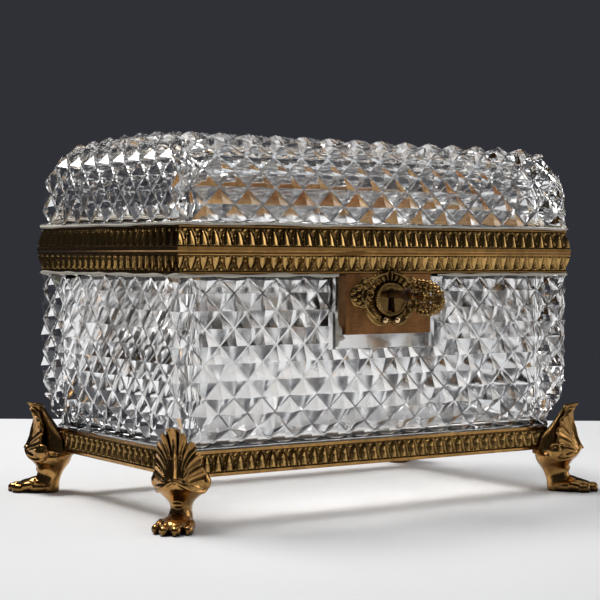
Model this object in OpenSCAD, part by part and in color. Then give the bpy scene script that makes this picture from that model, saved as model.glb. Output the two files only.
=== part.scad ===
// Cut-crystal casket with gilt mounts: a clear body and a domed clear lid, each
// held in a moulded brass rim, on a moulded base frame with four lion-paw feet.
// A small box lock in the front wall is thrown by a key, and catches a staple on
// the lid. Lengths are in millimetres. +X is the long side, -Y is the front.

/* [Casket] */
// Length over the two rims at the line where they meet
case_w = 190; // [170:1:210]
// Depth over the two rims at the line where they meet
case_d = 118; // [104:1:130]
// Height of the line where lid and body meet, above the table
split_z = 100; // [94:1:112]
// Gap between the two rims when the lid is closed
split_gap = 0.2; // [0.1:0.05:0.4]

/* [Rims] */
// Height of the moulded rim on the body
body_rim_h = 8.1; // [7.5:0.1:9]
// Height of the moulded rim on the lid
lid_rim_h = 9.9; // [9.2:0.1:11]
// Thickness of the flat flange that closes the channel of each rim
flange_t = 1.3; // [1:0.1:1.6]
// Depth from the rim's outermost line to the inner face of its moulded strip
strip_in = 3.2; // [2.8:0.1:3.6]
// Thickness of the plain inner lining strips
liner_t = 0.8; // [0.6:0.1:1]

/* [Crystal] */
// Depth from the rim's outermost line to the points of the cut diamonds
point_in = 0.9; // [0.6:0.1:1.2]
// Depth from the rim's outermost line to the glass inside the channels
neck_in = 4.4; // [4:0.1:4.8]
// Depth from the rim's outermost line to the smooth inner walls
wall_in = 9.2; // [8.6:0.1:10]
// Radius of the upright outer corners
corner_r = 4; // [3:0.5:6]
// Height of the floor inside the body
floor_z = 28; // [26:0.5:32]
// Height where the walls start to slope in towards the base frame
bevel_z = 42; // [38:0.5:48]
// Height of the lid's glass above its rim, at the shoulders
dome_h = 34; // [28:0.5:40]
// How far the middle of the lid stands above its shoulders
crown_h = 1.5; // [0.5:0.1:3]
// How far in from the wall the lid's shoulder is rounded
dome_r = 20; // [14:0.5:26]
// Thickness of the glass at the top of the lid
dome_t = 8.5; // [7:0.5:10]

/* [Base frame and feet] */
// Height of the base frame's underside above the table
base_z = 17.5; // [15:0.5:20]
// Height of the base frame
base_h = 9.6; // [8.5:0.1:10.5]
// Depth from the rim's outermost line to the base frame's lip
base_in = 6; // [5:0.1:7]
// Thickness of the base frame's bottom flange
base_flange_t = 1.9; // [1.6:0.1:2.2]
// How far a toe reaches out from the frame's corner, along the diagonal
toe_reach = 21; // [18:0.5:23]
// Height of the leaf tip on top of each foot
leaf_top_z = 37; // [35:0.5:38]

/* [Lock and key] */
// Width of the plain lock plate
plate_w = 41.2; // [40:0.2:44]
// Height of the plain lock plate below the rim
plate_h = 23.3; // [22:0.1:26]
// Depth of the lock case, plate and cover together
lock_t = 5.3; // [5.2:0.1:5.4]
// Height of the key's axis
key_z = 84; // [83.5:0.1:84.5]
// Reach of the key's bit from its axis
bit_r = 6; // [5.8:0.1:6]
// How far the key's bow stands in front of the rims
key_out = 36; // [30:0.5:38]

/* [Hinge] */
// Length of the hinge
hinge_w = 72; // [60:1:80]
// Outer radius of the hinge knuckles
knuckle_r = 2; // [1.8:0.1:2]
// Radius of the hinge pin
pin_r = 0.9; // [0.7:0.05:1]
// Radial clearance of the hinge pin in the lid's knuckles
pin_gap = 0.05; // [0.02:0.01:0.1]

/* [Hidden] */

half_w = case_w / 2;
half_d = case_d / 2;
body_top = split_z - split_gap / 2;
lid_bot = split_z + split_gap / 2;
rim_bot = body_top - body_rim_h;
rim_top = lid_bot + lid_rim_h;
dome_top = rim_top + dome_h;
base_top = base_z + base_h;
base_wall_in = base_in + 2.4;
base_seat_z = base_z + base_flange_t;
frame_x = half_w - base_in;
frame_y = half_d - base_in;
far = 400;

// Lock levels along Y, from the plate's front face to the cover's back
plate_y = -(half_d - 1);
plate_t = 1.1;
cover_t = 0.9;
lock_back_y = plate_y + lock_t;
cover_y = lock_back_y - cover_t;
bolt_y = plate_y + 2.1;
bolt_t = 1.5;
plate_bot = rim_bot - plate_h;
recess_half_w = 24;
recess_bot = plate_bot - 5.6;
recess_y = lock_back_y + 0.1;
staple_x = 10.5;
staple_w = 5.5;
shank_r = 1.6;
drill_r = 0.75;

// Hinge axis: behind the rims, level with the line where they meet
hinge_y = half_d + knuckle_r + 0.2;
leaf_seat_y = half_d - 1.1;
leaf_back_y = hinge_y - 1.05;
leaf_h = 6;
knuckle_gap = 0.4;
knuckle_len = (hinge_w - 4 * knuckle_gap) / 5;

// Outer toes of a foot: their place along and across the diagonal, and radius
toe_s = toe_reach - 5.4;
toe_t = 4.6;
toe_r = 3.9;

// The origin is under the middle of the whole object, key and feet included
key_end_y = -half_d - key_out;
toe_y = frame_y + (toe_s + toe_t) * sqrt(0.5) + toe_r;
origin_y = -(key_end_y + toe_y) / 2;

brass = [0.66, 0.49, 0.22];
dark_brass = [0.45, 0.32, 0.14];
copper_brass = [0.5, 0.3, 0.17];
steel = [0.42, 0.3, 0.24];
crystal = [0.85, 0.9, 0.93, 0.5];
plaster = [0.78, 0.72, 0.6];

module place() {
    translate([0, origin_y, 0]) children();
}

// ---- mouldings -----------------------------------------------------------

// A block whose sides follow a profile all the way round, mitred at the corners.
// profile: [inset from the rim's outermost line, height] pairs, bottom to top.
module moulded_block(profile) {
    intersection() {
        rotate([90, 0, 0])
            linear_extrude(height = far, center = true)
                polygon(block_outline(profile, half_w));
        rotate([90, 0, 90])
            linear_extrude(height = far, center = true)
                polygon(block_outline(profile, half_d));
    }
}

function block_outline(profile, half) =
    let (n = len(profile))
    concat(
        [for (p = profile) [half - p[0], p[1]]],
        [for (i = [n - 1 : -1 : 0]) [-(half - profile[i][0]), profile[i][1]]]
    );

// A straight block between two heights, set in all round by inset
module plain_block(inset, z0, z1) {
    translate([-(half_w - inset), -(half_d - inset), z0])
        cube([2 * (half_w - inset), 2 * (half_d - inset), z1 - z0]);
}

// The same block with rounded upright corners
module rounded_block(inset, r, z0, z1) {
    w = half_w - inset;
    d = half_d - inset;
    translate([0, 0, z0])
        linear_extrude(height = z1 - z0)
            union() {
                square([2 * (w - r), 2 * d], center = true);
                square([2 * w, 2 * (d - r)], center = true);
                for (sx = [-1, 1], sy = [-1, 1])
                    translate([sx * (w - r), sy * (d - r)]) circle(r = r, $fn = 48);
            }
}

// Quarter of a rounded shoulder: x goes from 0 to reach, z from 0 to rise
shoulder_power = 2.8;
function shoulder(reach, rise, z0, inset, steps) =
    [for (k = [0 : steps])
        let (a = 90 * k / steps)
        [inset + reach * (1 - pow(cos(a), 2 / shoulder_power)),
         z0 + rise * pow(sin(a), 2 / shoulder_power)]];

body_rim_profile = [
    [1.5, rim_bot], [1.2, rim_bot + 0.3], [1.2, rim_bot + 0.9], [1.8, rim_bot + 1.2],
    [1.5, rim_bot + 3.5], [0.8, rim_bot + 6.7], [0.1, rim_bot + 7.0], [0, rim_bot + 7.4],
    [0.2, body_top]
];
lid_rim_profile = [
    [0.2, lid_bot], [0, lid_bot + 0.4], [0, lid_bot + 1.8], [0.7, lid_bot + 2.1],
    [1.2, lid_bot + 5.2], [1.8, lid_bot + 8.5], [1.3, lid_bot + 8.9], [1.3, lid_bot + 9.5],
    [1.6, rim_top]
];
base_profile = [
    [base_in + 0.2, base_z], [base_in, base_z + 0.3], [base_in, base_z + 1.2],
    [base_in + 0.9, base_z + 1.6], [base_in + 1.1, base_z + 5], [base_in + 0.9, base_z + 8.2],
    [base_in + 0.5, base_z + 8.5], [base_in + 0.5, base_top]
];

// ---- body ----------------------------------------------------------------

module body_outer() {
    intersection() {
        moulded_block([
            [base_wall_in, base_seat_z], [base_wall_in, base_top], [base_in + 0.6, base_top],
            [point_in, bevel_z], [point_in, rim_bot - 1.3], [point_in + 0.6, rim_bot],
            [neck_in, rim_bot], [neck_in, body_top - flange_t]
        ]);
        rounded_block(point_in, corner_r, 0, far);
    }
}

module lock_recess() {
    translate([-recess_half_w, -half_d - 1, recess_bot])
        cube([2 * recess_half_w, half_d + 1 + recess_y, far]);
}

module body_crystal() {
    color(crystal)
        difference() {
            body_outer();
            rounded_block(wall_in, 5, floor_z, far);
            lock_recess();
        }
}

// Plaster that beds the glass in its channel, left out behind the lock
module body_bedding() {
    color(plaster)
        difference() {
            plain_block(strip_in, rim_bot + 0.2, body_top - flange_t);
            intersection() {
                plain_block(neck_in, 0, far);
                rounded_block(point_in, corner_r, 0, far);
            }
            lock_recess();
        }
}

module body_rim() {
    color(brass)
        difference() {
            moulded_block(body_rim_profile);
            plain_block(strip_in, rim_bot - 1, body_top - flange_t);
            plain_block(wall_in, 0, far);
            staple_slot();
            rivet_shanks();
            hinge_seat(body_top - 7.6, body_top + 1);
            hinge_rivet_holes(-1);
        }
}

module body_liner() {
    color(dark_brass)
        difference() {
            rounded_block(wall_in, 5, rim_bot - 1.2, body_top);
            rounded_block(wall_in + liner_t, 5 - liner_t, 0, far);
        }
    color(dark_brass) liner_corners(body_top - flange_t, body_top);
}

// Fillets of the flange's square inner corners round to the liner's corners
module liner_corners(z0, z1) {
    difference() {
        plain_block(wall_in, z0, z1);
        rounded_block(wall_in, 5, 0, far);
    }
}

// ---- base frame and feet -------------------------------------------------

module base_frame() {
    color(brass)
        difference() {
            moulded_block(base_profile);
            plain_block(base_wall_in, base_seat_z, far);
            plain_block(base_in + 10, 0, far);
            foot_screw_holes(1.25);
        }
}

// Bead of plaster under the glass, along the inner edge of the frame's flange
module base_bedding() {
    color(plaster)
        difference() {
            plain_block(base_in + 10, base_z + 0.6, base_seat_z);
            plain_block(base_in + 11.8, 0, far);
        }
}

module at_corner(sx, sy) {
    translate([sx * frame_x, sy * frame_y, 0])
        rotate(atan2(sy, sx))
            children();
}

screw_s = -3.2;
lug_z = 14.6;

module foot_screw_holes(r) {
    for (sx = [-1, 1], sy = [-1, 1])
        at_corner(sx, sy)
            translate([screw_s, 0, 0]) cylinder(r = r, h = 40, $fn = 24);
}

// What a foot must leave free: the base frame, and the glass above it
module above_foot() {
    translate([-frame_x, -frame_y, base_z]) cube([2 * frame_x, 2 * frame_y, base_h]);
    body_outer();
}

// Cuts the sole flat where it stands on the table
module below_table() {
    translate([-far / 2, -far / 2, -far]) cube([far, far, far]);
}

// One lion-paw foot, turned out along the diagonal: +X is outwards
module foot_shape() {
    // paw with its flat sole
    hull() {
        translate([3.2, 0, 0]) cylinder(r = 3.8, h = 5, $fn = 32);
        for (t = [-1, 1]) {
            translate([toe_s, t * toe_t, 0]) cylinder(r = toe_r, h = 1.6, $fn = 32);
            translate([toe_s, t * toe_t, 2]) sphere(r = 3, $fn = 24);
        }
        translate([toe_reach - 2.8, 0, 0]) cylinder(r = 2.8, h = 1.8, $fn = 32);
    }
    // ankle, rising to the calf
    hull() {
        translate([3.5, 0, 3]) cylinder(r = 4, h = 6, $fn = 32);
        translate([4.4, 0, 14]) cylinder(r = 6.6, h = 1, $fn = 32);
    }
    // calf and the lug that goes under the frame
    hull() {
        translate([4.6, 0, 13.5]) cylinder(r = 6.8, h = 4, $fn = 32);
        translate([8.2, 0, 18]) sphere(r = 4.6, $fn = 24);
        translate([screw_s, 0, lug_z]) cylinder(r = 3, h = base_z - lug_z, $fn = 32);
    }
    // acanthus leaf against the corner of the frame and the glass
    hull() {
        for (t = [-1, 1])
            translate([5, t * 6.5, 16]) cylinder(r = 3, h = 11, $fn = 24);
        translate([7.8, 0, 17]) cylinder(r = 3.4, h = 10, $fn = 24);
        translate([8.2, 0, leaf_top_z - 1]) cylinder(r = 2.4, h = 1, $fn = 24);
    }
    // volutes
    for (t = [-1, 1])
        translate([2, t * 9.4, 18])
            rotate([0, 90, 0]) cylinder(r = 2.3, h = 6.5, $fn = 32);
}

module foot(sx, sy) {
    color(brass)
        difference() {
            at_corner(sx, sy) foot_shape();
            above_foot();
            below_table();
            at_corner(sx, sy)
                translate([screw_s, 0, -1]) cylinder(r = 1.25, h = 40, $fn = 24);
            at_corner(sx, sy)
                translate([screw_s, 0, lug_z - 12]) cylinder(r = 2.3, h = 12, $fn = 32);
        }
}

module foot_screws() {
    color(steel)
        for (sx = [-1, 1], sy = [-1, 1])
            at_corner(sx, sy)
                translate([screw_s, 0, 0])
                    difference() {
                        union() {
                            translate([0, 0, lug_z - 1.3]) cylinder(r = 2.2, h = 1.3, $fn = 32);
                            translate([0, 0, lug_z]) cylinder(r = 1.25, h = base_seat_z - lug_z, $fn = 24);
                        }
                        translate([-3, -0.3, lug_z - 1.4]) cube([6, 0.6, 0.6]);
                    }
}

// ---- lock ----------------------------------------------------------------

// The opening through the body rim for the lid's staple
module staple_slot() {
    translate([staple_x - 1.6, bolt_y - 1, rim_bot - 3])
        cube([staple_w + 3.2, bolt_t + 1.6, far]);
}

rivet_xs = [-14, 3];
rivet_y = plate_y + 0.95;
rivet_r = 0.6;

rivet_rise = 3.4;
case_wall = 1;

// Rivets through the top of the lock case into the rim's moulded strip
module rivet_shanks() {
    for (x = rivet_xs)
        translate([x, rivet_y, rim_bot - case_wall])
            cylinder(r = rivet_r, h = case_wall + rivet_rise, $fn = 24);
}

// Keyhole outline: a round eye over a slot that widens downwards
module keyhole(eye_r, slot_top, slot_bot) {
    translate([0, key_z, 0]) {
        circle(r = eye_r, $fn = 32);
        polygon([
            [-slot_top, 0], [slot_top, 0], [slot_bot, -bit_r - 0.5], [-slot_bot, -bit_r - 0.5]
        ]);
    }
}

// Extrudes an X-Z outline from y0 towards +Y
module upright(y0, t) {
    translate([0, y0 + t, 0])
        rotate([90, 0, 0])
            linear_extrude(height = t) children();
}

cover_screw_x = plate_w / 2 - 2.2;
cover_screw_zs = [plate_bot + 2.2, rim_bot - 2.4];

module lock_case() {
    color(copper_brass)
        difference() {
            translate([-plate_w / 2, plate_y, plate_bot])
                cube([plate_w, cover_y - plate_y, plate_h]);
            difference() {
                translate([-plate_w / 2 + case_wall, plate_y + plate_t, plate_bot + case_wall])
                    cube([plate_w - 2 * case_wall, lock_t, plate_h - 2 * case_wall]);
                for (sx = [-1, 1], z = cover_screw_zs)
                    translate([sx * cover_screw_x, plate_y, z])
                        rotate([-90, 0, 0]) cylinder(r = 1.5, h = cover_y - plate_y, $fn = 32);
                guide_post();
            }
            upright(plate_y - 1, plate_t + 2) keyhole(2, 1.1, 1.4);
            staple_slot();
            rivet_shanks();
            cover_screw_holes();
        }
}

// Post that runs in the bolt's slot
module guide_post() {
    translate([-5.3, plate_y, key_z - 7.8])
        rotate([-90, 0, 0]) cylinder(r = 0.6, h = cover_y - plate_y, $fn = 24);
}

module cover_screw_holes() {
    for (sx = [-1, 1], z = cover_screw_zs)
        translate([sx * cover_screw_x, plate_y + plate_t + 0.4, z])
            rotate([-90, 0, 0]) cylinder(r = 0.7, h = far, $fn = 24);
}

module lock_cover() {
    color(dark_brass)
        difference() {
            translate([-plate_w / 2, cover_y, plate_bot]) cube([plate_w, cover_t, plate_h]);
            cover_screw_holes();
            translate([0, cover_y - 1, key_z])
                rotate([-90, 0, 0]) cylinder(r = drill_r, h = 5, $fn = 24);
        }
}

module lock_cover_screws() {
    color(steel)
        for (sx = [-1, 1], z = cover_screw_zs)
            translate([sx * cover_screw_x, plate_y + plate_t + 0.4, z])
                rotate([-90, 0, 0])
                    cylinder(r = 0.7, h = lock_back_y - plate_y - plate_t - 0.4, $fn = 24);
}

module lock_rivets() {
    color(brass) rivet_shanks();
}

// Pin in the middle of the lock that the hollow key turns on
module drill_pin() {
    color(steel)
        translate([0, plate_y + 0.2, key_z])
            rotate([-90, 0, 0]) cylinder(r = drill_r, h = lock_back_y - plate_y - 0.2, $fn = 24);
}

// Bolt: a bar with a notch that the bit pushes, and an arm that carries the nose
module bolt_outline() {
    translate([0, key_z])
        difference() {
            polygon([
                [-12, -9.3], [5.4, -9.3], [5.4, 1.6], [9.6, 1.6], [9.6, 4.4], [2.2, 4.4],
                [2.2, -3.4], [0.95, -3.4], [0.95, -6.3], [-0.95, -6.3], [-1.85, -3.4],
                [-4, -3.4], [-4, -6.3], [-12, -6.3]
            ]);
            translate([-11.2, -8.6]) square([6.7, 1.6]);
        }
}

module lock_bolt() {
    color(steel)
        upright(bolt_y, bolt_t) bolt_outline();
}

// Leaf spring under the bolt, anchored in the left wall of the case
spring_steps = 10;
function spring_line(k) =
    let (u = k / spring_steps)
    [-plate_w / 2 + case_wall + 24 * u, key_z - 11.3 + 1.7 * sin(180 * u)];

module bolt_spring() {
    color(steel)
        upright(bolt_y + 0.2, bolt_t - 0.4)
            polygon(concat(
                [for (k = [0 : spring_steps]) spring_line(k)],
                [for (k = [spring_steps : -1 : 0]) spring_line(k) - [0, 0.5]]
            ));
}

// Rococo cartouche round the keyhole
shield_z = plate_bot + 13.8;
module shield_outline() {
    translate([0, shield_z]) {
        scale_circle(11, 10.2, 48);
        for (sx = [-1, 1]) {
            translate([sx * 10.5, 1.5]) circle(r = 5.6, $fn = 32);
            translate([sx * 15.6, 0.6]) circle(r = 3.4, $fn = 32);
            translate([sx * 6, 7.4]) circle(r = 3.4, $fn = 32);
            translate([sx * 5.6, -8]) circle(r = 2.6, $fn = 32);
        }
        translate([0, 9.2]) circle(r = 2.6, $fn = 32);
    }
}

module scale_circle(rx, ry, steps) {
    polygon([for (k = [0 : steps - 1]) [rx * cos(360 * k / steps), ry * sin(360 * k / steps)]]);
}

shield_t = 1.2;
module escutcheon() {
    color(brass)
        difference() {
            union() {
                upright(plate_y - shield_t, shield_t) shield_outline();
                upright(plate_y - 2.4, 2.4) translate([0, shield_z - 0.4]) scale_circle(8, 7, 48);
            }
            upright(plate_y - 3, 1.4)
                translate([0, shield_z - 0.4]) scale_circle(6.9, 5.9, 48);
            upright(plate_y - 4, 6) keyhole(2.4, 1.4, 2.2);
            pin_holes();
        }
}

pin_x = 2.9;
pin_z = plate_bot + 5.3;
module pin_holes() {
    for (sx = [-1, 1])
        translate([sx * pin_x, plate_y - 2.4, pin_z])
            rotate([-90, 0, 0]) cylinder(r = 0.6, h = 2.4, $fn = 24);
}

module escutcheon_pins() {
    color([0.8, 0.62, 0.3])
        for (sx = [-1, 1])
            translate([sx * pin_x, plate_y - shield_t, pin_z])
                union() {
                    rotate([-90, 0, 0]) cylinder(r = 0.6, h = shield_t, $fn = 24);
                    intersection() {
                        sphere(r = 1.4, $fn = 32);
                        translate([-2, -2, -2]) cube([4, 2, 4]);
                    }
                }
}

// ---- key -----------------------------------------------------------------

key_tip_y = bolt_y + bolt_t + 0.5;
collar_y = -half_d - 12.5;

module along_key(y0, y1, r0, r1) {
    translate([0, y0, key_z])
        rotate([-90, 0, 0]) cylinder(r1 = r0, r2 = r1, h = y1 - y0, $fn = 32);
}

// Hollow steel shank with its bit, hanging down as it is put in
module key_shank() {
    color(steel)
        difference() {
            union() {
                along_key(collar_y - 4, key_tip_y, shank_r, shank_r);
                along_key(collar_y, collar_y + 1.6, 2.6, 2.6);
                along_key(collar_y + 2.2, collar_y + 3.2, 2.2, 2.2);
                translate([-0.7, plate_y + plate_t + 0.3, key_z - bit_r])
                    cube([1.4, key_tip_y - plate_y - plate_t - 0.3, bit_r]);
            }
            along_key(plate_y - 6, key_tip_y + 1, drill_r + 0.05, drill_r + 0.05);
        }
}

// Pierced bow, cast in one with its socket
bow_t = 3;
bow_mid_y = (collar_y + key_end_y) / 2 - 0.5;
bow_len = collar_y - key_end_y;
module key_bow() {
    color(dark_brass)
        difference() {
            union() {
                translate([-bow_t / 2, 0, 0])
                    rotate([90, 0, 90])
                        linear_extrude(height = bow_t) bow_outline();
                along_key(collar_y - 4, collar_y, 2.3, 2.6);
            }
            along_key(collar_y - 4, collar_y + 1, shank_r, shank_r);
        }
}

module bow_outline() {
    translate([0, key_z])
        difference() {
            union() {
                translate([key_end_y + 3.2, 0]) circle(r = 3.2, $fn = 32);
                for (s = [-1, 1]) {
                    translate([bow_mid_y + 3.4, s * 4.1]) circle(r = 3.9, $fn = 32);
                    translate([bow_mid_y - 3.2, s * 3.9]) circle(r = 3.6, $fn = 32);
                }
                translate([key_end_y + 3, -2.2]) square([bow_len - 4, 4.4]);
            }
            for (s = [-1, 1]) {
                translate([bow_mid_y + 3.4, s * 3.9]) circle(r = 1.6, $fn = 32);
                translate([bow_mid_y - 3.2, s * 3.7]) circle(r = 1.4, $fn = 32);
            }
        }
}

// ---- hinge ---------------------------------------------------------------

// Flat seats cut in the back of the rims for the hinge leaves
module hinge_seat(z0, z1) {
    translate([-hinge_w / 2 - 0.2, leaf_seat_y, z0])
        cube([hinge_w + 0.4, 10, z1 - z0]);
}

function knuckle_x(k) = -hinge_w / 2 + k * (knuckle_len + knuckle_gap);

rivet_step = 24;
hinge_rivet_r = 0.8;
// side -1 is the body's leaf, below the axis; side 1 is the lid's, above it
function hinge_rivet_z(side) = split_z + side * 5.2;

module hinge_rivet_holes(side) {
    for (k = [-1 : 1])
        translate([k * rivet_step, half_d - strip_in - 1, hinge_rivet_z(side)])
            rotate([-90, 0, 0]) cylinder(r = hinge_rivet_r, h = 20, $fn = 24);
}

// One knuckle and the web that joins it to its leaf, as a Y-Z outline
module knuckle_outline(side) {
    translate([hinge_y, split_z]) {
        circle(r = knuckle_r, $fn = 48);
        if (side < 0)
            translate([-knuckle_r, -3]) square([knuckle_r - 1.05, 3]);
        else
            translate([-knuckle_r, 0]) square([knuckle_r - 1.05, 3]);
    }
}

// An outline in Y-Z carried along X
module along_x(x0, len_x) {
    translate([x0, 0, 0])
        rotate([90, 0, 90])
            linear_extrude(height = len_x) children();
}

module leaf_plate(side) {
    z0 = side < 0 ? split_z - 2.4 - leaf_h + 1 : split_z + 2.4;
    translate([-hinge_w / 2, leaf_seat_y, z0])
        cube([hinge_w, leaf_back_y - leaf_seat_y, leaf_h - 1]);
}

module hinge_leaf_body() {
    color(dark_brass)
        difference() {
            union() {
                leaf_plate(-1);
                for (k = [0 : 2 : 4])
                    along_x(knuckle_x(k), knuckle_len) knuckle_outline(-1);
            }
            hinge_bore(pin_r);
            hinge_rivet_holes(-1);
        }
}

// The lid's leaf has a heel behind each knuckle, which stops it when it is open
heel_reach = 4.2;
module hinge_leaf_lid() {
    color(dark_brass)
        difference() {
            union() {
                leaf_plate(1);
                for (k = [1, 3])
                    along_x(knuckle_x(k), knuckle_len) {
                        knuckle_outline(1);
                        translate([hinge_y + 1.5, split_z - 0.6]) square([heel_reach - 1.5, 1.2]);
                    }
            }
            hinge_bore(pin_r + pin_gap);
            hinge_rivet_holes(1);
        }
}

module hinge_bore(r) {
    translate([-hinge_w, hinge_y, split_z])
        rotate([0, 90, 0]) cylinder(r = r, h = 2 * hinge_w, $fn = 48);
}

module hinge_pin() {
    color(steel)
        translate([-hinge_w / 2 - 0.6, hinge_y, split_z])
            rotate([0, 90, 0]) cylinder(r = pin_r, h = hinge_w + 1.2, $fn = 48);
}

module hinge_rivets(side) {
    color(brass)
        for (k = [-1 : 1])
            translate([k * rivet_step, half_d - strip_in, hinge_rivet_z(side)]) {
                rotate([-90, 0, 0])
                    cylinder(r = hinge_rivet_r, h = leaf_back_y - half_d + strip_in, $fn = 24);
                translate([0, leaf_back_y - half_d + strip_in, 0])
                    rotate([-90, 0, 0])
                        difference() {
                            cylinder(r = 1.4, h = 0.5, $fn = 32);
                            translate([-2, -0.2, 0.3]) cube([4, 0.4, 1]);
                        }
            }
}

// ---- lid -----------------------------------------------------------------

staple_plate_w = 22;
staple_plate_t = 1.2;
staple_mid_x = staple_x + staple_w / 2;

module staple_plate_block() {
    translate([staple_mid_x - staple_plate_w / 2, bolt_y - 0.9, lid_bot])
        cube([staple_plate_w, bolt_t + 1.8, staple_plate_t]);
}

staple_screw_r = 0.7;
module staple_screw_holes() {
    for (s = [-1, 1])
        translate([staple_mid_x + s * 8.2, bolt_y + bolt_t / 2, lid_bot - 1])
            cylinder(r = staple_screw_r, h = 1 + flange_t, $fn = 24);
}

module lid_rim() {
    color(brass)
        difference() {
            moulded_block(lid_rim_profile);
            plain_block(strip_in, lid_bot + flange_t, far);
            plain_block(wall_in, 0, far);
            staple_plate_block();
            staple_screw_holes();
            hinge_seat(lid_bot - 1, lid_bot + 7.6);
            hinge_rivet_holes(1);
        }
}

module lid_liner() {
    color(dark_brass)
        difference() {
            rounded_block(wall_in, 5, lid_bot, rim_top);
            rounded_block(wall_in + liner_t, 5 - liner_t, 0, far);
        }
    color(dark_brass) liner_corners(lid_bot, lid_bot + flange_t);
}

module lid_bedding() {
    color(plaster)
        difference() {
            plain_block(strip_in, lid_bot + flange_t, rim_top - 0.2);
            intersection() {
                plain_block(neck_in, 0, far);
                rounded_block(point_in, corner_r, 0, far);
            }
        }
}

dome_steps = 9;
module lid_outer() {
    intersection() {
        moulded_block(concat(
            [[neck_in, lid_bot + flange_t], [neck_in, rim_top], [point_in + 0.7, rim_top]],
            shoulder(dome_r, dome_h, rim_top + 0.8, point_in, dome_steps),
            [[dome_r + 16, dome_top + 0.8 + crown_h * 0.7], [half_d - 2, dome_top + 0.8 + crown_h]]
        ));
        rounded_block(point_in, corner_r + 1, 0, far);
    }
}

hollow_h = dome_h + crown_h - dome_t;
module lid_hollow() {
    intersection() {
        moulded_block(concat(
            [[wall_in, lid_bot - 1]],
            shoulder(dome_r - 3, hollow_h, rim_top, wall_in, 7)
        ));
        rounded_block(wall_in, 5, 0, far);
    }
}

module lid_crystal() {
    color(crystal)
        difference() {
            lid_outer();
            lid_hollow();
        }
}

// Staple: a tongue below the lid with a notch that the bolt's nose slides into
module lid_staple() {
    color(steel)
        difference() {
            union() {
                staple_plate_block();
                upright(bolt_y, bolt_t)
                    polygon([
                        [staple_x, lid_bot + 0.1], [staple_x, key_z + 4.8],
                        [staple_x + 4, key_z + 4.8], [staple_x + 4, key_z + 1.2],
                        [staple_x, key_z + 1.2], [staple_x, key_z - 0.6],
                        [staple_x + 0.8, key_z - 1], [staple_x + staple_w, key_z - 1],
                        [staple_x + staple_w, lid_bot + 0.1]
                    ]);
            }
            staple_screw_holes();
        }
}

module staple_screws() {
    color(brass)
        for (s = [-1, 1])
            translate([staple_mid_x + s * 8.2, bolt_y + bolt_t / 2, lid_bot])
                cylinder(r = staple_screw_r, h = flange_t, $fn = 24);
}

// ---- the whole casket ----------------------------------------------------

place() body_crystal();
place() body_bedding();
place() body_rim();
place() body_liner();
place() base_frame();
place() base_bedding();
place() foot(-1, -1);  // foot_front_left
place() foot(1, -1);  // foot_front_right
place() foot(-1, 1);  // foot_back_left
place() foot(1, 1);  // foot_back_right
place() foot_screws();
place() lock_case();
place() lock_cover();
place() lock_cover_screws();
place() lock_rivets();
place() drill_pin();
place() lock_bolt();
place() bolt_spring();
place() escutcheon();
place() escutcheon_pins();
place() key_shank();
place() key_bow();
place() hinge_leaf_body();
place() hinge_leaf_lid();
place() hinge_pin();
place() hinge_rivets(-1);  // hinge_rivets_body
place() hinge_rivets(1);  // hinge_rivets_lid
place() lid_rim();
place() lid_liner();
place() lid_bedding();
place() lid_crystal();
place() lid_staple();
place() staple_screws();
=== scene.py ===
"""Looks of a cut-crystal casket: clear body and domed lid, gilt mounts, lion-paw feet, lock and key.

Shapes are worked out in millimetres, in casket coordinates: x and y are measured from the middle
of the rims and z from the table. place() turns them into the frame's metres.
"""
import math

import bmesh
import bpy
import numpy as np
from bpy.props import FloatProperty, FloatVectorProperty, IntProperty, PointerProperty
from mathutils import Matrix, Vector


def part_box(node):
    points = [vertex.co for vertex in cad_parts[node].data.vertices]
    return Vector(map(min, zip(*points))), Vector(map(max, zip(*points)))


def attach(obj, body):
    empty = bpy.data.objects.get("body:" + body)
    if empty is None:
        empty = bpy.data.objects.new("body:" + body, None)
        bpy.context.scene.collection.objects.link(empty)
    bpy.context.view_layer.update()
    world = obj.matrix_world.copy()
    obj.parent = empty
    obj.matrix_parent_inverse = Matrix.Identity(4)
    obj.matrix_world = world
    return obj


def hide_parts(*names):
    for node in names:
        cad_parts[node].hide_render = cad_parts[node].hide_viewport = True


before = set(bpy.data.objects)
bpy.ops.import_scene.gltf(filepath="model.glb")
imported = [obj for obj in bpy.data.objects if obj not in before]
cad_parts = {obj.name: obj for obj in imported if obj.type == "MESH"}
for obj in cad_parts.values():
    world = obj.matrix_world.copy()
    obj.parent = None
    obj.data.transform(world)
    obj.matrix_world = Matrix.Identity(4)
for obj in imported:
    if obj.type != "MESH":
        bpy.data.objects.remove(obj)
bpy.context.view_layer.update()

bl_info = {
    "name": "Crystal casket",
    "version": (1, 0, 0),
    "blender": (4, 5, 0),
    "location": "View3D > Sidebar > Casket",
    "description": "Builds the looks of a cut-crystal casket with gilt mounts round its packed frame",
    "category": "Object",
}

MM = 0.001


# ---- places, read from the frame ----------------------------------------------------------------

def metres_box(node):
    """Lowest and highest corner of a node, in the frame's metres."""
    low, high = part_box(node)
    return np.array(low), np.array(high)


RIM_LOW, RIM_HIGH = metres_box("body_rim")
MIDDLE = np.array([(RIM_LOW[0] + RIM_HIGH[0]) / 2, (RIM_LOW[1] + RIM_HIGH[1]) / 2, 0.0])


def node_box(node):
    """Lowest and highest corner of a node in casket coordinates, in millimetres."""
    low, high = metres_box(node)
    return (low - MIDDLE) / MM, (high - MIDDLE) / MM


def place(points):
    """Casket coordinates in millimetres to the frame's metres."""
    return np.asarray(points, float) * MM + MIDDLE


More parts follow.
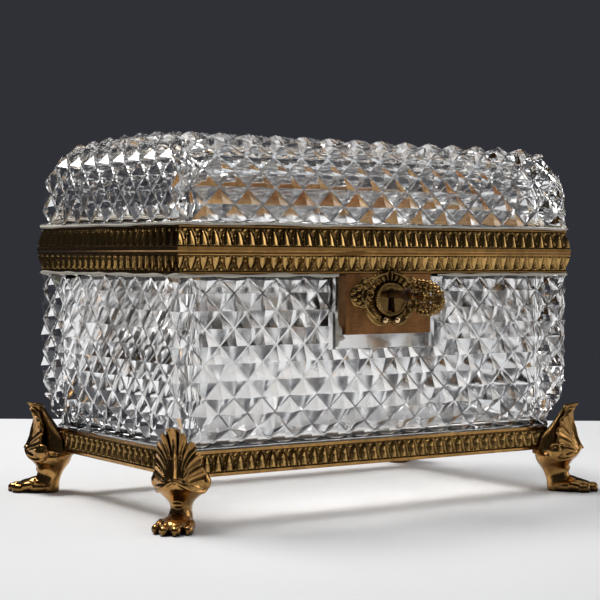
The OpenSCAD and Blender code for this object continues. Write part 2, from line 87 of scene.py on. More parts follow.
BODY_RIM = node_box("body_rim")
LID_RIM = node_box("lid_rim")
BASE = node_box("base_frame")
BODY = node_box("body_crystal")
LID = node_box("lid_crystal")
LOCK = node_box("lock_case")
COVER = node_box("lock_cover")
SHIELD = node_box("escutcheon")
BOW = node_box("key_bow")
LINER = node_box("body_liner")

HALF_W = BODY_RIM[1][0]
HALF_D = BODY_RIM[1][1]
RIM_BOTTOM = BODY_RIM[0][2]
RIM_TOP = LID_RIM[1][2]
BODY_TOP = BODY_RIM[1][2]
LID_BOTTOM = LID_RIM[0][2]
POINT_IN = HALF_W - BODY[1][0]
WALL_IN = HALF_W - LINER[1][0]
NECK_IN = POINT_IN + 3.5
BASE_IN = HALF_W - BASE[1][0]
BASE_WALL_IN = BASE_IN + 2.4


# ---- settings -----------------------------------------------------------------------------------

class CrystalSettings(bpy.types.PropertyGroup):
    """The cutting of the glass."""
    pitch: FloatProperty(name="Pitch", description="Width of a diamond, mm", default=12.325, min=8, max=20)
    row: FloatProperty(name="Row", description="Height between two rows of points, mm", default=6.27,
                       min=4, max=10)
    depth: FloatProperty(name="Depth", description="Depth of the cuts, mm", default=2.35, min=1, max=4)
    land: FloatProperty(name="Land", description="Share of a facet left as the cut's flat bottom",
                        default=0.07, min=0.02, max=0.2)
    wander: FloatProperty(name="Wander", description="How far the cutter's hand strays, mm",
                          default=0.05, min=0, max=0.5)
    seed: IntProperty(name="Seed", description="Seed of the strays", default=7)


class MouldingSettings(bpy.types.PropertyGroup):
    """The leaf mouldings of the rims and the base frame."""
    long_leaves: IntProperty(name="Leaves, front", description="Leaves along a long side", default=37)
    short_leaves: IntProperty(name="Leaves, side", description="Leaves along a short side", default=23)
    relief: FloatProperty(name="Relief", description="How far the leaves stand out, mm", default=0.72,
                          min=0.1, max=1)
    step: FloatProperty(name="Step", description="Distance between mesh lines, mm", default=0.3,
                        min=0.15, max=1)


class FinishSettings(bpy.types.PropertyGroup):
    """Colours of the finishes."""
    gilt: FloatVectorProperty(name="Gilt", description="Gilding where it is worn bright", subtype="COLOR",
                              default=(0.62, 0.38, 0.13), min=0, max=1)
    # Patina colour of the hollows; the castings' ambient-occlusion mask also lays it there as painted shade
    patina_and_shade: FloatVectorProperty(name="Patina", description="Gilding in the hollows", subtype="COLOR",
                                default=(0.05, 0.027, 0.009), min=0, max=1)
    copper: FloatVectorProperty(name="Lock plate", description="Plain coppery brass", subtype="COLOR",
                                default=(0.36, 0.17, 0.065), min=0, max=1)
    steel: FloatVectorProperty(name="Steel", description="Browned steel", subtype="COLOR",
                               default=(0.28, 0.19, 0.14), min=0, max=1)
    plaster: FloatVectorProperty(name="Plaster", description="Bedding plaster", subtype="COLOR",
                                 default=(0.6, 0.56, 0.48), min=0, max=1)


class StageSettings(bpy.types.PropertyGroup):
    """Table, backdrop, lights and camera."""
    azimuth: FloatProperty(name="Azimuth", description="Direction the camera looks from", subtype="ANGLE",
                           default=math.radians(-33.93))
    elevation: FloatProperty(name="Elevation", description="How far the camera looks down", subtype="ANGLE",
                             default=math.radians(1.54))
    roll: FloatProperty(name="Roll", description="Turn of the camera about its view", subtype="ANGLE",
                        default=math.radians(0.198))
    distance: FloatProperty(name="Distance", description="From the camera to what it looks at", unit="LENGTH",
                            default=0.6792)
    aim: FloatVectorProperty(name="Aim", description="What the camera looks at, mm from the casket's middle",
                             default=(-1.8, 1.4, 80.2))
    lens: FloatProperty(name="Lens", description="Focal length, mm", default=97.19)
    table: FloatVectorProperty(name="Table", description="Colour of the table", subtype="COLOR",
                               default=(0.88, 0.89, 0.91), min=0, max=1)
    backdrop: FloatVectorProperty(name="Backdrop", description="Colour of the backdrop", subtype="COLOR",
                                  default=(0.029, 0.031, 0.038), min=0, max=1)
    table_behind: FloatProperty(name="Table behind", description="Table behind what the camera looks at",
                                unit="LENGTH", default=0.295)
    table_left: FloatProperty(name="Table left", description="Table to the left of what the camera looks at",
                              unit="LENGTH", default=0.27)


# ---- meshes -------------------------------------------------------------------------------------

def mesh_object(name, points, faces, smooth_angle=None):
    """A mesh object from casket-millimetre points and arrays or lists of faces."""
    mesh = bpy.data.meshes.new(name)
    listed = [face for block in faces for face in (block.tolist() if hasattr(block, "tolist") else block)]
    mesh.from_pydata(place(points).tolist(), [], listed)
    mesh.update()
    if smooth_angle is not None:
        mesh.shade_smooth()
        mesh.set_sharp_from_angle(angle=math.radians(smooth_angle))
    made = bpy.data.objects.new(name, mesh)
    bpy.context.scene.collection.objects.link(made)
    return made


def grid_faces(rows, columns, wrap_rows=False, wrap_columns=False):
    """Quads of a grid whose vertex (r, c) has number r * columns + c."""
    r = np.arange(rows if wrap_rows else rows - 1)
    c = np.arange(columns if wrap_columns else columns - 1)
    r, c = (side.ravel() for side in np.meshgrid(r, c, indexing="ij"))
    r2, c2 = (r + 1) % rows, (c + 1) % columns
    return np.stack([r * columns + c, r * columns + c2, r2 * columns + c2, r2 * columns + c], 1)


def boolean(target, tool, operation):
    """target cut by, joined to or kept inside tool, exactly; the tool is used up."""
    step = target.modifiers.new(operation.lower(), "BOOLEAN")
    step.operation = operation
    step.solver = "EXACT"
    step.material_mode = "TRANSFER"
    step.object = tool
    if not tool.data.materials:
        tool.data.materials.append(target.data.materials[0])
    bake_modifiers(target)
    bpy.data.objects.remove(tool)
    return target


def bake_modifiers(target):
    """Puts the result of an object's modifiers into its mesh."""
    bpy.context.view_layer.update()
    shaped = target.evaluated_get(bpy.context.evaluated_depsgraph_get())
    mesh = bpy.data.meshes.new_from_object(shaped)
    target.modifiers.clear()
    old = target.data
    target.data = mesh
    bpy.data.meshes.remove(old)
    mesh.name = target.name


def tidy_mesh(target, distance=2e-6):
    """Merges doubles and drops slivers that an exact cut leaves behind."""
    cut = bmesh.new()
    cut.from_mesh(target.data)
    bmesh.ops.remove_doubles(cut, verts=cut.verts, dist=distance)
    bmesh.ops.dissolve_degenerate(cut, edges=cut.edges, dist=distance)
    cut.to_mesh(target.data)
    cut.free()
    target.data.update()


def face_outwards(piece):
    """Turns every face of a closed piece outwards."""
    shell = bmesh.new()
    shell.from_mesh(piece.data)
    bmesh.ops.recalc_face_normals(shell, faces=shell.faces)
    shell.to_mesh(piece.data)
    shell.free()


BLOCK_CORNERS = np.array([[x, y, z] for z in (0, 1) for y in (0, 1) for x in (0, 1)])
BLOCK_FACES = [[0, 2, 3, 1], [4, 5, 7, 6], [0, 1, 5, 4], [1, 3, 7, 5], [3, 2, 6, 7], [2, 0, 4, 6]]


def box_object(name, low, high):
    """A plain block, used as a cutting tool."""
    points = np.array(low) + BLOCK_CORNERS * (np.array(high) - np.array(low))
    return mesh_object(name, points, [BLOCK_FACES])


def finish_piece(piece, body, slot, material, *stands_for):
    """Gives a piece its material and its body, and hides the nodes it stands for; slot is not used."""
    if material is not None:
        piece.data.materials.clear()
        piece.data.materials.append(material)
    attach(piece, body)
    if stands_for:
        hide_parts(*stands_for)


# ---- cut crystal --------------------------------------------------------------------------------

CORNER_FADE = 7.0      # over this length, in mm, the cuts run out towards a block's ends
CORNER_SHARE = 0.42    # what is left of a cut's depth at the end
BAND_EDGE = 0.95       # how far the cuts stop short of a band's edges, in mm
SEAT_GAP = 0.05        # clearance of the glass in its mounts, in mm
FLOOR_Z = 28.0         # inner floor of the body
BEVEL_TOP = 42.0       # where the body's lower edge stops sloping
SHOULDER_POWER = 3.3   # squareness of the lid's dome: 2 is round
LID_REACH = 20.0       # how far in the dome's shoulder reaches
LID_EDGE = 0.8         # plain edge of the lid over its rim
LID_CROWN = 1.5        # rise of the lid's top from its shoulder to its middle
LID_RISE = LID[1][2] - RIM_TOP - LID_EDGE - LID_CROWN
LID_WALL = 8.5         # thickness of the lid's top
FRONT_PHASE = -94.06   # where along a side one of its diamonds has its point
SIDE_PHASE = -52.0
PLAIN_FACET_Z = 138.0  # height of the plain facets on the lid's corners
PLAIN_FACET_RISE = math.radians(38)


class Section:
    """A closed block carried along x, with plain rows and bands of cut diamonds.

    The outline goes up the front, over and down the back. A band is a lattice of half-pitch
    stations and rows: nodes whose numbers add up even are points on the uncut surface, odd ones
    lie a cut's depth below it, or less near the block's ends. Each point joins its four odd
    neighbours in four facets, and every facet stops a little short of them, which leaves the flat
    bottoms of the cuts between them.
    """

    def __init__(self, stations, half_length):
        self.stations = stations
        self.shallow = np.clip((half_length - np.abs(stations)) / CORNER_FADE, CORNER_SHARE, 1.0)
        self.points = []
        self.count = 0
        self.faces = []
        self.first_line = None
        self.last_line = None
        self.ends = ([], [])

    def add_points(self, points):
        first = self.count
        self.points.append(points)
        self.count += len(points)
        return np.arange(first, self.count)

    def join(self, line):
        """Quads from the last line of even stations to this one."""
        if self.last_line is None:
            self.first_line = line
        else:
            a, b = self.last_line, line
            self.faces.append(np.stack([a[:-1], a[1:], b[1:], b[:-1]], 1))

    def row(self, out, z):
        """A plain row at one place of the outline."""
        x = self.stations[::2]
        line = self.add_points(np.stack([x, np.full(len(x), out), np.full(len(x), z)], 1))
        self.join(line)
        self.last_line = line
        self.ends[0].append(line[0])
        self.ends[1].append(line[-1])

    def rows_up(self, places, half):
        """Plain rows up the front, at (inset, z) places."""
        for inset, z in places:
            self.row(inset - half, z)

    def rows_down(self, places, half):
        """Plain rows down the back, at the same places in the opposite order."""
        for inset, z in reversed(places):
            self.row(half - inset, z)

    def band(self, rail, cut, rng):
        """A band of diamonds along rail, an odd number of (out, z) rows."""
        along = np.gradient(rail, axis=0)
        along /= np.linalg.norm(along, axis=1, keepdims=True)
        normal = np.stack([-along[:, 1], along[:, 0]], 1)
        last_i, last_j = len(self.stations) - 1, len(rail) - 1
        i, j = np.meshgrid(np.arange(last_i + 1), np.arange(last_j + 1), indexing="ij")
        inner = (i > 0) & (i < last_i) & (j > 0) & (j < last_j)
        stray = rng.normal(0, cut.wander, (3,) + i.shape) * inner
        odd = (i + j) % 2 == 1
        sunk = np.where(odd, cut.depth * self.shallow[i], 0.0) + stray[2] * 0.8
        shift = (stray[1] + np.where(odd & (j == 0), BAND_EDGE, 0)
                 - np.where(odd & (j == last_j), BAND_EDGE, 0))
        flat = rail[j] + shift[..., None] * along[j] - sunk[..., None] * normal[j]
        node = np.concatenate([(self.stations[i] + stray[0])[..., None], flat], 2)
        point = np.full(i.shape, -1)
        point[~odd] = self.add_points(node[~odd])
        foot = {}
        for name, di, dj in (("E", 1, 0), ("N", 0, 1), ("W", -1, 0), ("S", 0, -1)):
            there = odd & (i + di >= 0) & (i + di <= last_i) & (j + dj >= 0) & (j + dj <= last_j)
            a, b = i[there], j[there]
            towards = node[a + di, b + dj] - node[a, b]
            foot[name] = np.full(i.shape, -1)
            foot[name][there] = self.add_points(node[a, b] + cut.land * towards)
        self.band_faces(i, j, last_i, last_j, point, foot)
        self.join(point[::2, 0])
        self.last_line = point[::2, last_j]
        for end, column in ((self.ends[0], 0), (self.ends[1], last_i)):
            for k in range(last_j + 1):
                end.extend([point[column, k]] if k % 2 == 0 else [foot["S"][column, k], foot["N"][column, k]])

    def band_faces(self, i, j, last_i, last_j, point, foot):
        """Facets, cut bottoms, crossings and the ends of the cuts of one band."""
        east, north, west, south = (foot[k] for k in "ENWS")
        cell = (i < last_i) & (j < last_j)
        a, b = i[cell & ((i + j) % 2 == 0)], j[cell & ((i + j) % 2 == 0)]
        self.faces += [
            np.stack([point[a, b], west[a + 1, b], south[a, b + 1]], 1),
            np.stack([point[a + 1, b + 1], east[a, b + 1], north[a + 1, b]], 1),
            np.stack([west[a + 1, b], north[a + 1, b], east[a, b + 1], south[a, b + 1]], 1),
        ]
        a, b = i[cell & ((i + j) % 2 == 1)], j[cell & ((i + j) % 2 == 1)]
        self.faces += [
            np.stack([point[a + 1, b], south[a + 1, b + 1], east[a, b]], 1),
            np.stack([point[a, b + 1], north[a, b], west[a + 1, b + 1]], 1),
            np.stack([east[a, b], south[a + 1, b + 1], west[a + 1, b + 1], north[a, b]], 1),
        ]
        crossing = np.stack([east, north, west, south], -1)[(i + j) % 2 == 1]
        whole = (crossing >= 0).all(1)
        self.faces.append(crossing[whole])
        partial = crossing[~whole]
        self.faces.append([[v for v in row if v >= 0] for row in partial.tolist()])
        a = np.arange(1, last_i, 2)
        self.faces += [
            np.stack([point[a - 1, 0], point[a + 1, 0], east[a, 0], west[a, 0]], 1),
            np.stack([point[a + 1, last_j], point[a - 1, last_j], west[a, last_j], east[a, last_j]], 1),
        ]

    def close(self, name, quarter_turn=False):
        """The finished block; a quarter turn makes it run along y."""
        self.join(self.first_line)
        self.faces.append([self.ends[0], self.ends[1][::-1]])
        points = np.concatenate(self.points)
        if quarter_turn:
            points = points[:, [1, 0, 2]] * [-1, 1, 1]
        return mesh_object(name, points, self.faces)


def even_stations(half, pitch, phase):
    """Stations half a pitch apart that reach past +-half, with a point of row 0 at phase."""
    step = pitch / 2
    first = phase - pitch * math.ceil((phase + half + step) / pitch)
    count = 2 * math.ceil((half + step - first) / pitch)
    return first + step * np.arange(count + 1)


def even_rail(outline, count):
    """count + 1 points at equal distances along a polyline."""
    steps = np.linalg.norm(np.diff(outline, axis=0), axis=1)
    length = np.concatenate([[0], np.cumsum(steps)])
    at = np.linspace(0, length[-1], count + 1)
    return np.stack([np.interp(at, length, outline[:, k]) for k in (0, 1)], 1)


def even_count(outline, spacing):
    """The even number of steps of about this spacing along a polyline."""
    length = np.linalg.norm(np.diff(outline, axis=0), axis=1).sum()
    return 2 * max(1, round(length / spacing / 2))


def shoulder(reach, rise, inset, z, steps=24):
    """Quarter of a superellipse: inset grows by reach while z grows by rise."""
    a = np.linspace(0, math.pi / 2, steps + 1)
    return np.stack([inset + reach * (1 - np.cos(a) ** (2 / SHOULDER_POWER)),
                     z + rise * np.sin(a) ** (2 / SHOULDER_POWER)], 1)


def rounded_loop(half_x, half_y, radius, arc_steps=10):
    """Points round a rectangle with rounded corners, counterclockwise."""
    a = np.linspace(0, math.pi / 2, arc_steps + 1)
    arc = np.stack([np.cos(a), np.sin(a)], 1) * radius
    loop = []
    for k, (sx, sy) in enumerate(((1, 1), (-1, 1), (-1, -1), (1, -1))):
        c, s = math.cos(k * math.pi / 2), math.sin(k * math.pi / 2)
        turned = np.stack([arc[:, 0] * c - arc[:, 1] * s, arc[:, 0] * s + arc[:, 1] * c], 1)
        loop.append(turned + [sx * (half_x - radius), sy * (half_y - radius)])
    return np.concatenate(loop)


def hollow(name, rows, material):
    """A smooth rounded hollow, lofted through (inset, z, corner radius) rows from the bottom up."""
    loops = []
    for inset, z, radius in rows:
        loop = rounded_loop(HALF_W - inset, HALF_D - inset, radius)
        loops.append(np.column_stack([loop, np.full(len(loop), z)]))
    count = len(loops[0])
    faces = [grid_faces(len(loops), count, wrap_columns=True),
             [list(range(count))[::-1], list(range(count * (len(loops) - 1), count * len(loops)))]]
    made = mesh_object(name, np.concatenate(loops), faces, smooth_angle=30)
    made.data.materials.append(material)
    return made


def body_section(half, half_length, phase, cut, rng, quarter_turn):
    """The body's cut block for one pair of sides: half is half the distance between the two."""
    bevel_low = BASE[1][2] + SEAT_GAP
    bevel_in = BASE_IN + 0.6
    outline = np.array([[bevel_in - 0.3, bevel_low + 0.8], [POINT_IN, BEVEL_TOP],
                        [POINT_IN, RIM_BOTTOM - 0.5]])
    rail = even_rail(outline, even_count(outline, cut.row))
    rail[:, 0] -= half
    bottom = [(BASE_WALL_IN, BODY[0][2] + SEAT_GAP), (BASE_WALL_IN, bevel_low), (bevel_in, bevel_low)]
    top = [(POINT_IN, RIM_BOTTOM - SEAT_GAP), (NECK_IN, RIM_BOTTOM - SEAT_GAP),
           (NECK_IN, BODY[1][2] - SEAT_GAP)]
    section = Section(even_stations(half_length, cut.pitch, phase), half_length)
    section.rows_up(bottom, half)
    section.band(rail, cut, rng)
    section.rows_up(top, half)
    section.rows_down(top, half)
    section.band(rail[::-1] * [-1, 1], cut, rng)
    section.rows_down(bottom, half)
    return section.close("cut", quarter_turn)


def make_body_crystal(cut, outside, inside):
    """Four cut walls mitred together, hollowed out, with a polished seat for the lock."""
    rng = np.random.default_rng(cut.seed)
    front = body_section(HALF_D, HALF_W, FRONT_PHASE, cut, rng, False)
    side = body_section(HALF_W, HALF_D, SIDE_PHASE, cut, rng, True)
    front.name = "crystal_body"
    front.data.materials.append(outside)
    boolean(front, side, "INTERSECT")
    rows = [(WALL_IN + 3.5, FLOOR_Z, 2.5), (WALL_IN + 2.2, FLOOR_Z + 0.25, 3.2),
            (WALL_IN + 1, FLOOR_Z + 1.1, 4.2), (WALL_IN + 0.25, FLOOR_Z + 2.5, 4.8),
            (WALL_IN, FLOOR_Z + 4, 5), (WALL_IN, BODY_TOP + 5, 5)]
    boolean(front, hollow("hollow", rows, inside), "DIFFERENCE")
    beside, under = 3.4, 5.6
    low, high, bottom = LOCK[0][0] - beside, LOCK[1][0] + beside, LOCK[0][2] - under
    seat = box_object("seat", [low, -HALF_D - 5, bottom], [high, COVER[1][1] + 0.1, BODY_TOP + 9])
    boolean(front, seat, "DIFFERENCE")
    depth = -HALF_D + POINT_IN + cut.depth - 0.25
    step = box_object("step", [low - beside, -HALF_D - 5, bottom - 0.02],
                      [high + beside, depth, RIM_BOTTOM - 0.4])
    boolean(front, step, "DIFFERENCE")
    tidy_mesh(front)
    finish_piece(front, "casket", "crystal", None, "body_crystal")


def corner_facet(curve, sx, sy):
    """A block whose lower face takes the lid's domed corner off in one plain facet."""
    near = np.argmin(np.abs(curve[:, 1] - PLAIN_FACET_Z))
    corner = np.array([sx * (HALF_W - curve[near, 0]), sy * (HALF_D - curve[near, 0]), curve[near, 1]])
    level = np.array([0.6 * sx, 0.8 * sy, 0])
    out = level * math.cos(PLAIN_FACET_RISE) + [0, 0, math.sin(PLAIN_FACET_RISE)]
    across = np.array([-level[1], level[0], 0])
    local = BLOCK_CORNERS * [16.0, 10.0, 12.0] - [8.0, 5.0, 3.4]
    axes = np.stack([across, np.cross(out, across), out])
    return mesh_object("facet", corner + local @ axes, [BLOCK_FACES])


def make_lid_crystal(cut, outside, inside):
    """A barrel cut from front to back over the top, its ends cut to the same shoulder."""
    rng = np.random.default_rng(cut.seed + 1)
    band_low = RIM_TOP + 1.0
    curve = shoulder(LID_REACH, LID_RISE + RIM_TOP + LID_EDGE - band_low, POINT_IN, band_low)
    crown = np.array([[LID_REACH + 16, LID[1][2] - LID_CROWN * 0.3], [HALF_D, LID[1][2]]])
    front_half = np.concatenate([curve, crown]) - [HALF_D, 0]
    whole = np.concatenate([front_half, front_half[-2::-1] * [-1, 1]])
    rail = even_rail(whole, even_count(whole, cut.row))
    neck = [(NECK_IN, LID[0][2] + SEAT_GAP), (NECK_IN, RIM_TOP + SEAT_GAP), (POINT_IN, RIM_TOP + SEAT_GAP)]
    barrel = Section(even_stations(HALF_W, cut.pitch, FRONT_PHASE), HALF_W)
    barrel.rows_up(neck, HALF_D)
    barrel.band(rail, cut, rng)
    barrel.rows_down(neck, HALF_D)
    lid = barrel.close("crystal_lid")
    lid.data.materials.append(outside)

    ends = Section(even_stations(HALF_D, cut.pitch, SIDE_PHASE), HALF_D)
    steep = curve[curve[:, 0] < POINT_IN + 11]
    rail = even_rail(steep, even_count(steep, cut.row))
    rail[:, 0] -= HALF_W
    above = [(POINT_IN + 15, LID[1][2] + 3), (HALF_W - 20, LID[1][2] + 4)]
    ends.rows_up(neck, HALF_W)
    ends.band(rail, cut, rng)
    ends.rows_up(above, HALF_W)
    ends.rows_down(above, HALF_W)
    ends.band(rail[::-1] * [-1, 1], cut, rng)
    ends.rows_down(neck, HALF_W)
    boolean(lid, ends.close("ends", quarter_turn=True), "INTERSECT")

    for sx, sy in ((-1, -1), (1, -1), (-1, 1), (1, 1)):
        boolean(lid, corner_facet(curve, sx, sy), "DIFFERENCE")

    inner = shoulder(LID_REACH - 3, LID[1][2] - RIM_TOP - LID_EDGE - LID_WALL, WALL_IN, RIM_TOP, 14)
    rows = [(WALL_IN, LID_BOTTOM - 5, 5)] + [(i, z, 5 + (i - WALL_IN) * 0.7) for i, z in inner]
    boolean(lid, hollow("hollow", rows, inside), "DIFFERENCE")
    tidy_mesh(lid)
    finish_piece(lid, "lid", "crystal", None, "lid_crystal")


# ---- leaf mouldings -----------------------------------------------------------------------------

def leaf_relief(u, v):
    """Relief from 0 to 1 of a pointed leaf: u is across, -0.5 to 0.5 of a pitch, v from base to tip.

    A roof-shaped leaf stands inside a thin arched ridge, and a bead fills the gap between two tips.
    """
    u = np.abs((u + 0.5) % 1.0 - 0.5)
    inside = np.clip(1 - np.clip(v, 0, 1) ** 2.3, 0, 1)
    arch = 0.455 * inside ** 0.85
    leaf = 0.30 * np.clip(1 - (np.clip(v, 0, None) / 0.93) ** 2.2, 0, 1) ** 0.9
    roof = np.clip(1 - u / np.maximum(leaf, 1e-3), 0, 1)
    body = np.where((v > 0) & (v < 0.93), 0.22 * np.clip(roof * 8, 0, 1) + 0.73 * roof ** 0.8, 0)
    ridge = 0.8 * np.exp(-((u - arch) / 0.045) ** 2) * ((v > -0.02) & (v < 1.0))
    bead = np.sqrt(np.clip(1 - ((u - 0.5) / 0.15) ** 2 - ((v - 0.9) / 0.105) ** 2, 0, 1))
    base = 0.45 * np.exp(-((v + 0.02) / 0.04) ** 2)
    return np.maximum(np.maximum(body, ridge), np.maximum(0.95 * bead, base))


def leaf_moulding(name, outline, base_z, tip_z, leaves, settings, material, body, back_cut=None):
    """A skin of leaves over a moulding, mitred at the corners, with its relief kept as an attribute.

    outline is (inset, z) pairs from the bottom up; the skin's back lies just inside the moulding.
    """
    outline = np.array(outline, float)
    count = max(4, round(np.linalg.norm(np.diff(outline, axis=0), axis=1).sum() / (settings.step * 0.8)))
    rail = even_rail(outline, count)
    along = np.gradient(rail, axis=0)
    along /= np.linalg.norm(along, axis=1, keepdims=True)
    out = np.stack([-along[:, 1], along[:, 0]], 1)
    v = (rail[:, 1] - base_z) / (tip_z - base_z)
    back = np.stack([rail[[-1, 0], 0] + 0.35, rail[[-1, 0], 1]], 1)
    columns = []
    reliefs = []
    for k in range(4):
        half, across = (HALF_W, HALF_D) if k % 2 == 0 else (HALF_D, HALF_W)
        number = leaves[k % 2]
        steps = round(2 * half / settings.step)
        w = np.linspace(-1, 1, steps + 1)[:-1]
        reach = half - rail[:, 0]
        t = w[:, None] * reach[None, :]
        pitch = 2 * reach.mean() / number
        relief = leaf_relief((t + reach.mean()) / pitch, v[None, :])
        edge = np.clip((reach[None, :] - np.abs(t)) / 0.25, 0, 1)
        lift = 0.04 + settings.relief * relief * (0.35 + 0.65 * edge)
        inset = rail[None, :, 0] + lift * out[None, :, 0]
        z = rail[None, :, 1] + lift * out[None, :, 1]
        t = w[:, None] * (half - inset)
        flat = np.stack([t, -(across - inset), z], 2)
        hidden = np.stack([w[:, None] * (half - back[None, :, 0]),
                           np.broadcast_to(-(across - back[:, 0]), (steps, 2)),
                           np.broadcast_to(back[:, 1], (steps, 2))], 2)
        ring = np.concatenate([flat, hidden], 1)
        c, s = round(math.cos(k * math.pi / 2)), round(math.sin(k * math.pi / 2))
        columns.append(np.stack([ring[..., 0] * c - ring[..., 1] * s, ring[..., 0] * s + ring[..., 1] * c,
                                 ring[..., 2]], 2))
        reliefs.append(np.concatenate([relief, np.zeros((steps, 2))], 1))
    points = np.concatenate(columns)
    if back_cut is not None:
        half_x, y, low, high = back_cut
        cut = (np.abs(points[..., 0]) < half_x) & (points[..., 2] > low) & (points[..., 2] < high)
        points[..., 1] = np.where(cut & (points[..., 1] > y), y, points[..., 1])
    total, across_count = points.shape[:2]
    faces = grid_faces(total, across_count, wrap_rows=True, wrap_columns=True)
    piece = mesh_object(name, points.reshape(-1, 3), [faces], smooth_angle=55)
    face_outwards(piece)
    mark = piece.data.attributes.new("relief", "FLOAT", "POINT")
    mark.data.foreach_set("value", np.concatenate(reliefs).astype(np.float32).ravel())
    finish_piece(piece, body, "gilt_brass", material)
    return piece


# ---- castings, fused from simple bodies ---------------------------------------------------------

def smooth_path(points, per_span=8):
    """Catmull-Rom curve: a cubic through every point, with slopes from the points on either side."""
    p = np.asarray(points, float)
    p = np.concatenate([2 * p[:1] - p[1:2], p, 2 * p[-1:] - p[-2:-1]])
    t = np.linspace(0, 1, per_span, endpoint=False)[:, None]
    a, b, c, d = (p[k:len(p) - 3 + k][:, None] for k in range(4))
    curve = 0.5 * (2 * b + (c - a) * t + (2 * a - 5 * b + 4 * c - d) * t ** 2
                   + (3 * b - a - 3 * c + d) * t ** 3)
    return np.concatenate([curve.reshape(-1, p.shape[1]), p[-2:-1]])


def capped(points, rows, columns):
    """A closed body from rows of rings: quads between the rings, and a fan to the middle of each end ring."""
    rings = points.reshape(rows, columns, 3)
    ends = np.stack([rings[0].mean(0), rings[-1].mean(0)])
    here = np.arange(columns)
    after = (here + 1) % columns
    low, high = np.full(columns, rows * columns), np.full(columns, rows * columns + 1)
    last = (rows - 1) * columns
    fans = np.concatenate([np.stack([low, after, here], 1), np.stack([high, last + here, last + after], 1)])
    return np.concatenate([points, ends]), [grid_faces(rows, columns, wrap_columns=True), fans]


def ball(centre, radii, tilt=0.0, steps=18):
    """An ellipsoid: the unit sphere times its radii, tilted in the plane of its first and third axes."""
    a, b = np.meshgrid(np.linspace(0.02, math.pi - 0.02, steps),
                       np.linspace(0, 2 * math.pi, 2 * steps, endpoint=False), indexing="ij")
    unit = np.stack([np.sin(a) * np.cos(b), np.sin(a) * np.sin(b), np.cos(a)], 2).reshape(-1, 3) * radii
    c, s = math.cos(tilt), math.sin(tilt)
    turned = np.stack([unit[:, 0] * c - unit[:, 2] * s, unit[:, 1], unit[:, 0] * s + unit[:, 2] * c], 1)
    return capped(turned + centre, steps, 2 * steps)


def tube(path, radius, sides=12):
    """A round bar: a circle of the given radius, one or two ends' values, carried along a smooth path."""
    line = smooth_path(path)
    along = np.gradient(line, axis=0)
    along /= np.linalg.norm(along, axis=1, keepdims=True)
    flat = np.linalg.svd(line - line.mean(0), full_matrices=False)[2][2]
    across = np.cross(along, flat)
    across /= np.linalg.norm(across, axis=1, keepdims=True)
    other = np.cross(along, across)
    thick = np.linspace(*np.broadcast_to(radius, 2), len(line))[:, None, None]
    a = np.linspace(0, 2 * math.pi, sides, endpoint=False)[None, :, None]
    points = line[:, None] + thick * (np.cos(a) * across[:, None] + np.sin(a) * other[:, None])
    return capped(points.reshape(-1, 3), len(line), sides)


def loft(rows, sides=56, power=2.2):
    """Superelliptic rings from (z, back, front, half width) rows, with a smooth curve through the rows."""
    z, back, front, half = smooth_path(rows).T[:, :, None]
    a = np.linspace(0, 2 * math.pi, sides, endpoint=False)[None]
    bent = [np.sign(v) * np.abs(v) ** (2 / power) for v in (np.cos(a), np.sin(a))]
    points = np.stack([(back + front) / 2 + (front - back) / 2 * bent[0], half * bent[1], z + 0 * a], 2)
    return capped(points.reshape(-1, 3), len(z), sides)


def fuse(bodies, voxel, melt=0):
    """One skin round bodies that overlap, as points and faces in the bodies' own millimetres."""
    points, faces, first = [], [], 0
    for body_points, body_faces in bodies:
        points.append(body_points)
        faces += [face for block in body_faces for face in (block + first).tolist()]
        first += len(body_points)
    mesh = bpy.data.meshes.new("fused")
    mesh.from_pydata((np.concatenate(points) * MM).tolist(), [], faces)
    piece = bpy.data.objects.new("fused", mesh)
    bpy.context.scene.collection.objects.link(piece)
    skin = piece.modifiers.new("skin", "REMESH")
    skin.mode = "VOXEL"
    skin.voxel_size = voxel * MM
    if melt:
        soft = piece.modifiers.new("melt", "SMOOTH")
        soft.factor = 0.5
        soft.iterations = melt
    bake_modifiers(piece)
    mesh = piece.data
    flat = np.empty(len(mesh.vertices) * 3)
    mesh.vertices.foreach_get("co", flat)
    corners = np.empty(len(mesh.loops), int)
    mesh.loops.foreach_get("vertex_index", corners)
    bpy.data.objects.remove(piece)
    return flat.reshape(-1, 3) / MM, corners.reshape(-1, 4)


# The foot's leaf: where its lobes end in degrees about LEAF_ROOT, their reach, and how far out the
# leaf stands at each height.
LEAF_ROOT = 16.0
LOBE_ENDS = np.array([0.0, 6.8, 17.0, 31.0, 49.0, 70.0, 95.0])
LEAF_REACH = ((0, 21.3), (6.6, 21.2), (8, 19.9), (12, 19.8), (18, 18.0), (24, 16.8), (40, 13.2),
              (58, 10.9), (78, 9.6), (95, 8.8), (120, 5), (180, 2.4))
LEAF_FRONT = ((12, 7.0), (13.4, 8.8), (15.2, 11.4), (17, 12.9), (18.2, 12.9), (20, 11.7), (23, 10.4),
              (26, 9.7), (29, 9.5), (31, 9.6), (34, 10.1), (36, 10.8), (38, 11.6))
RIBBON_HALF = 7.6


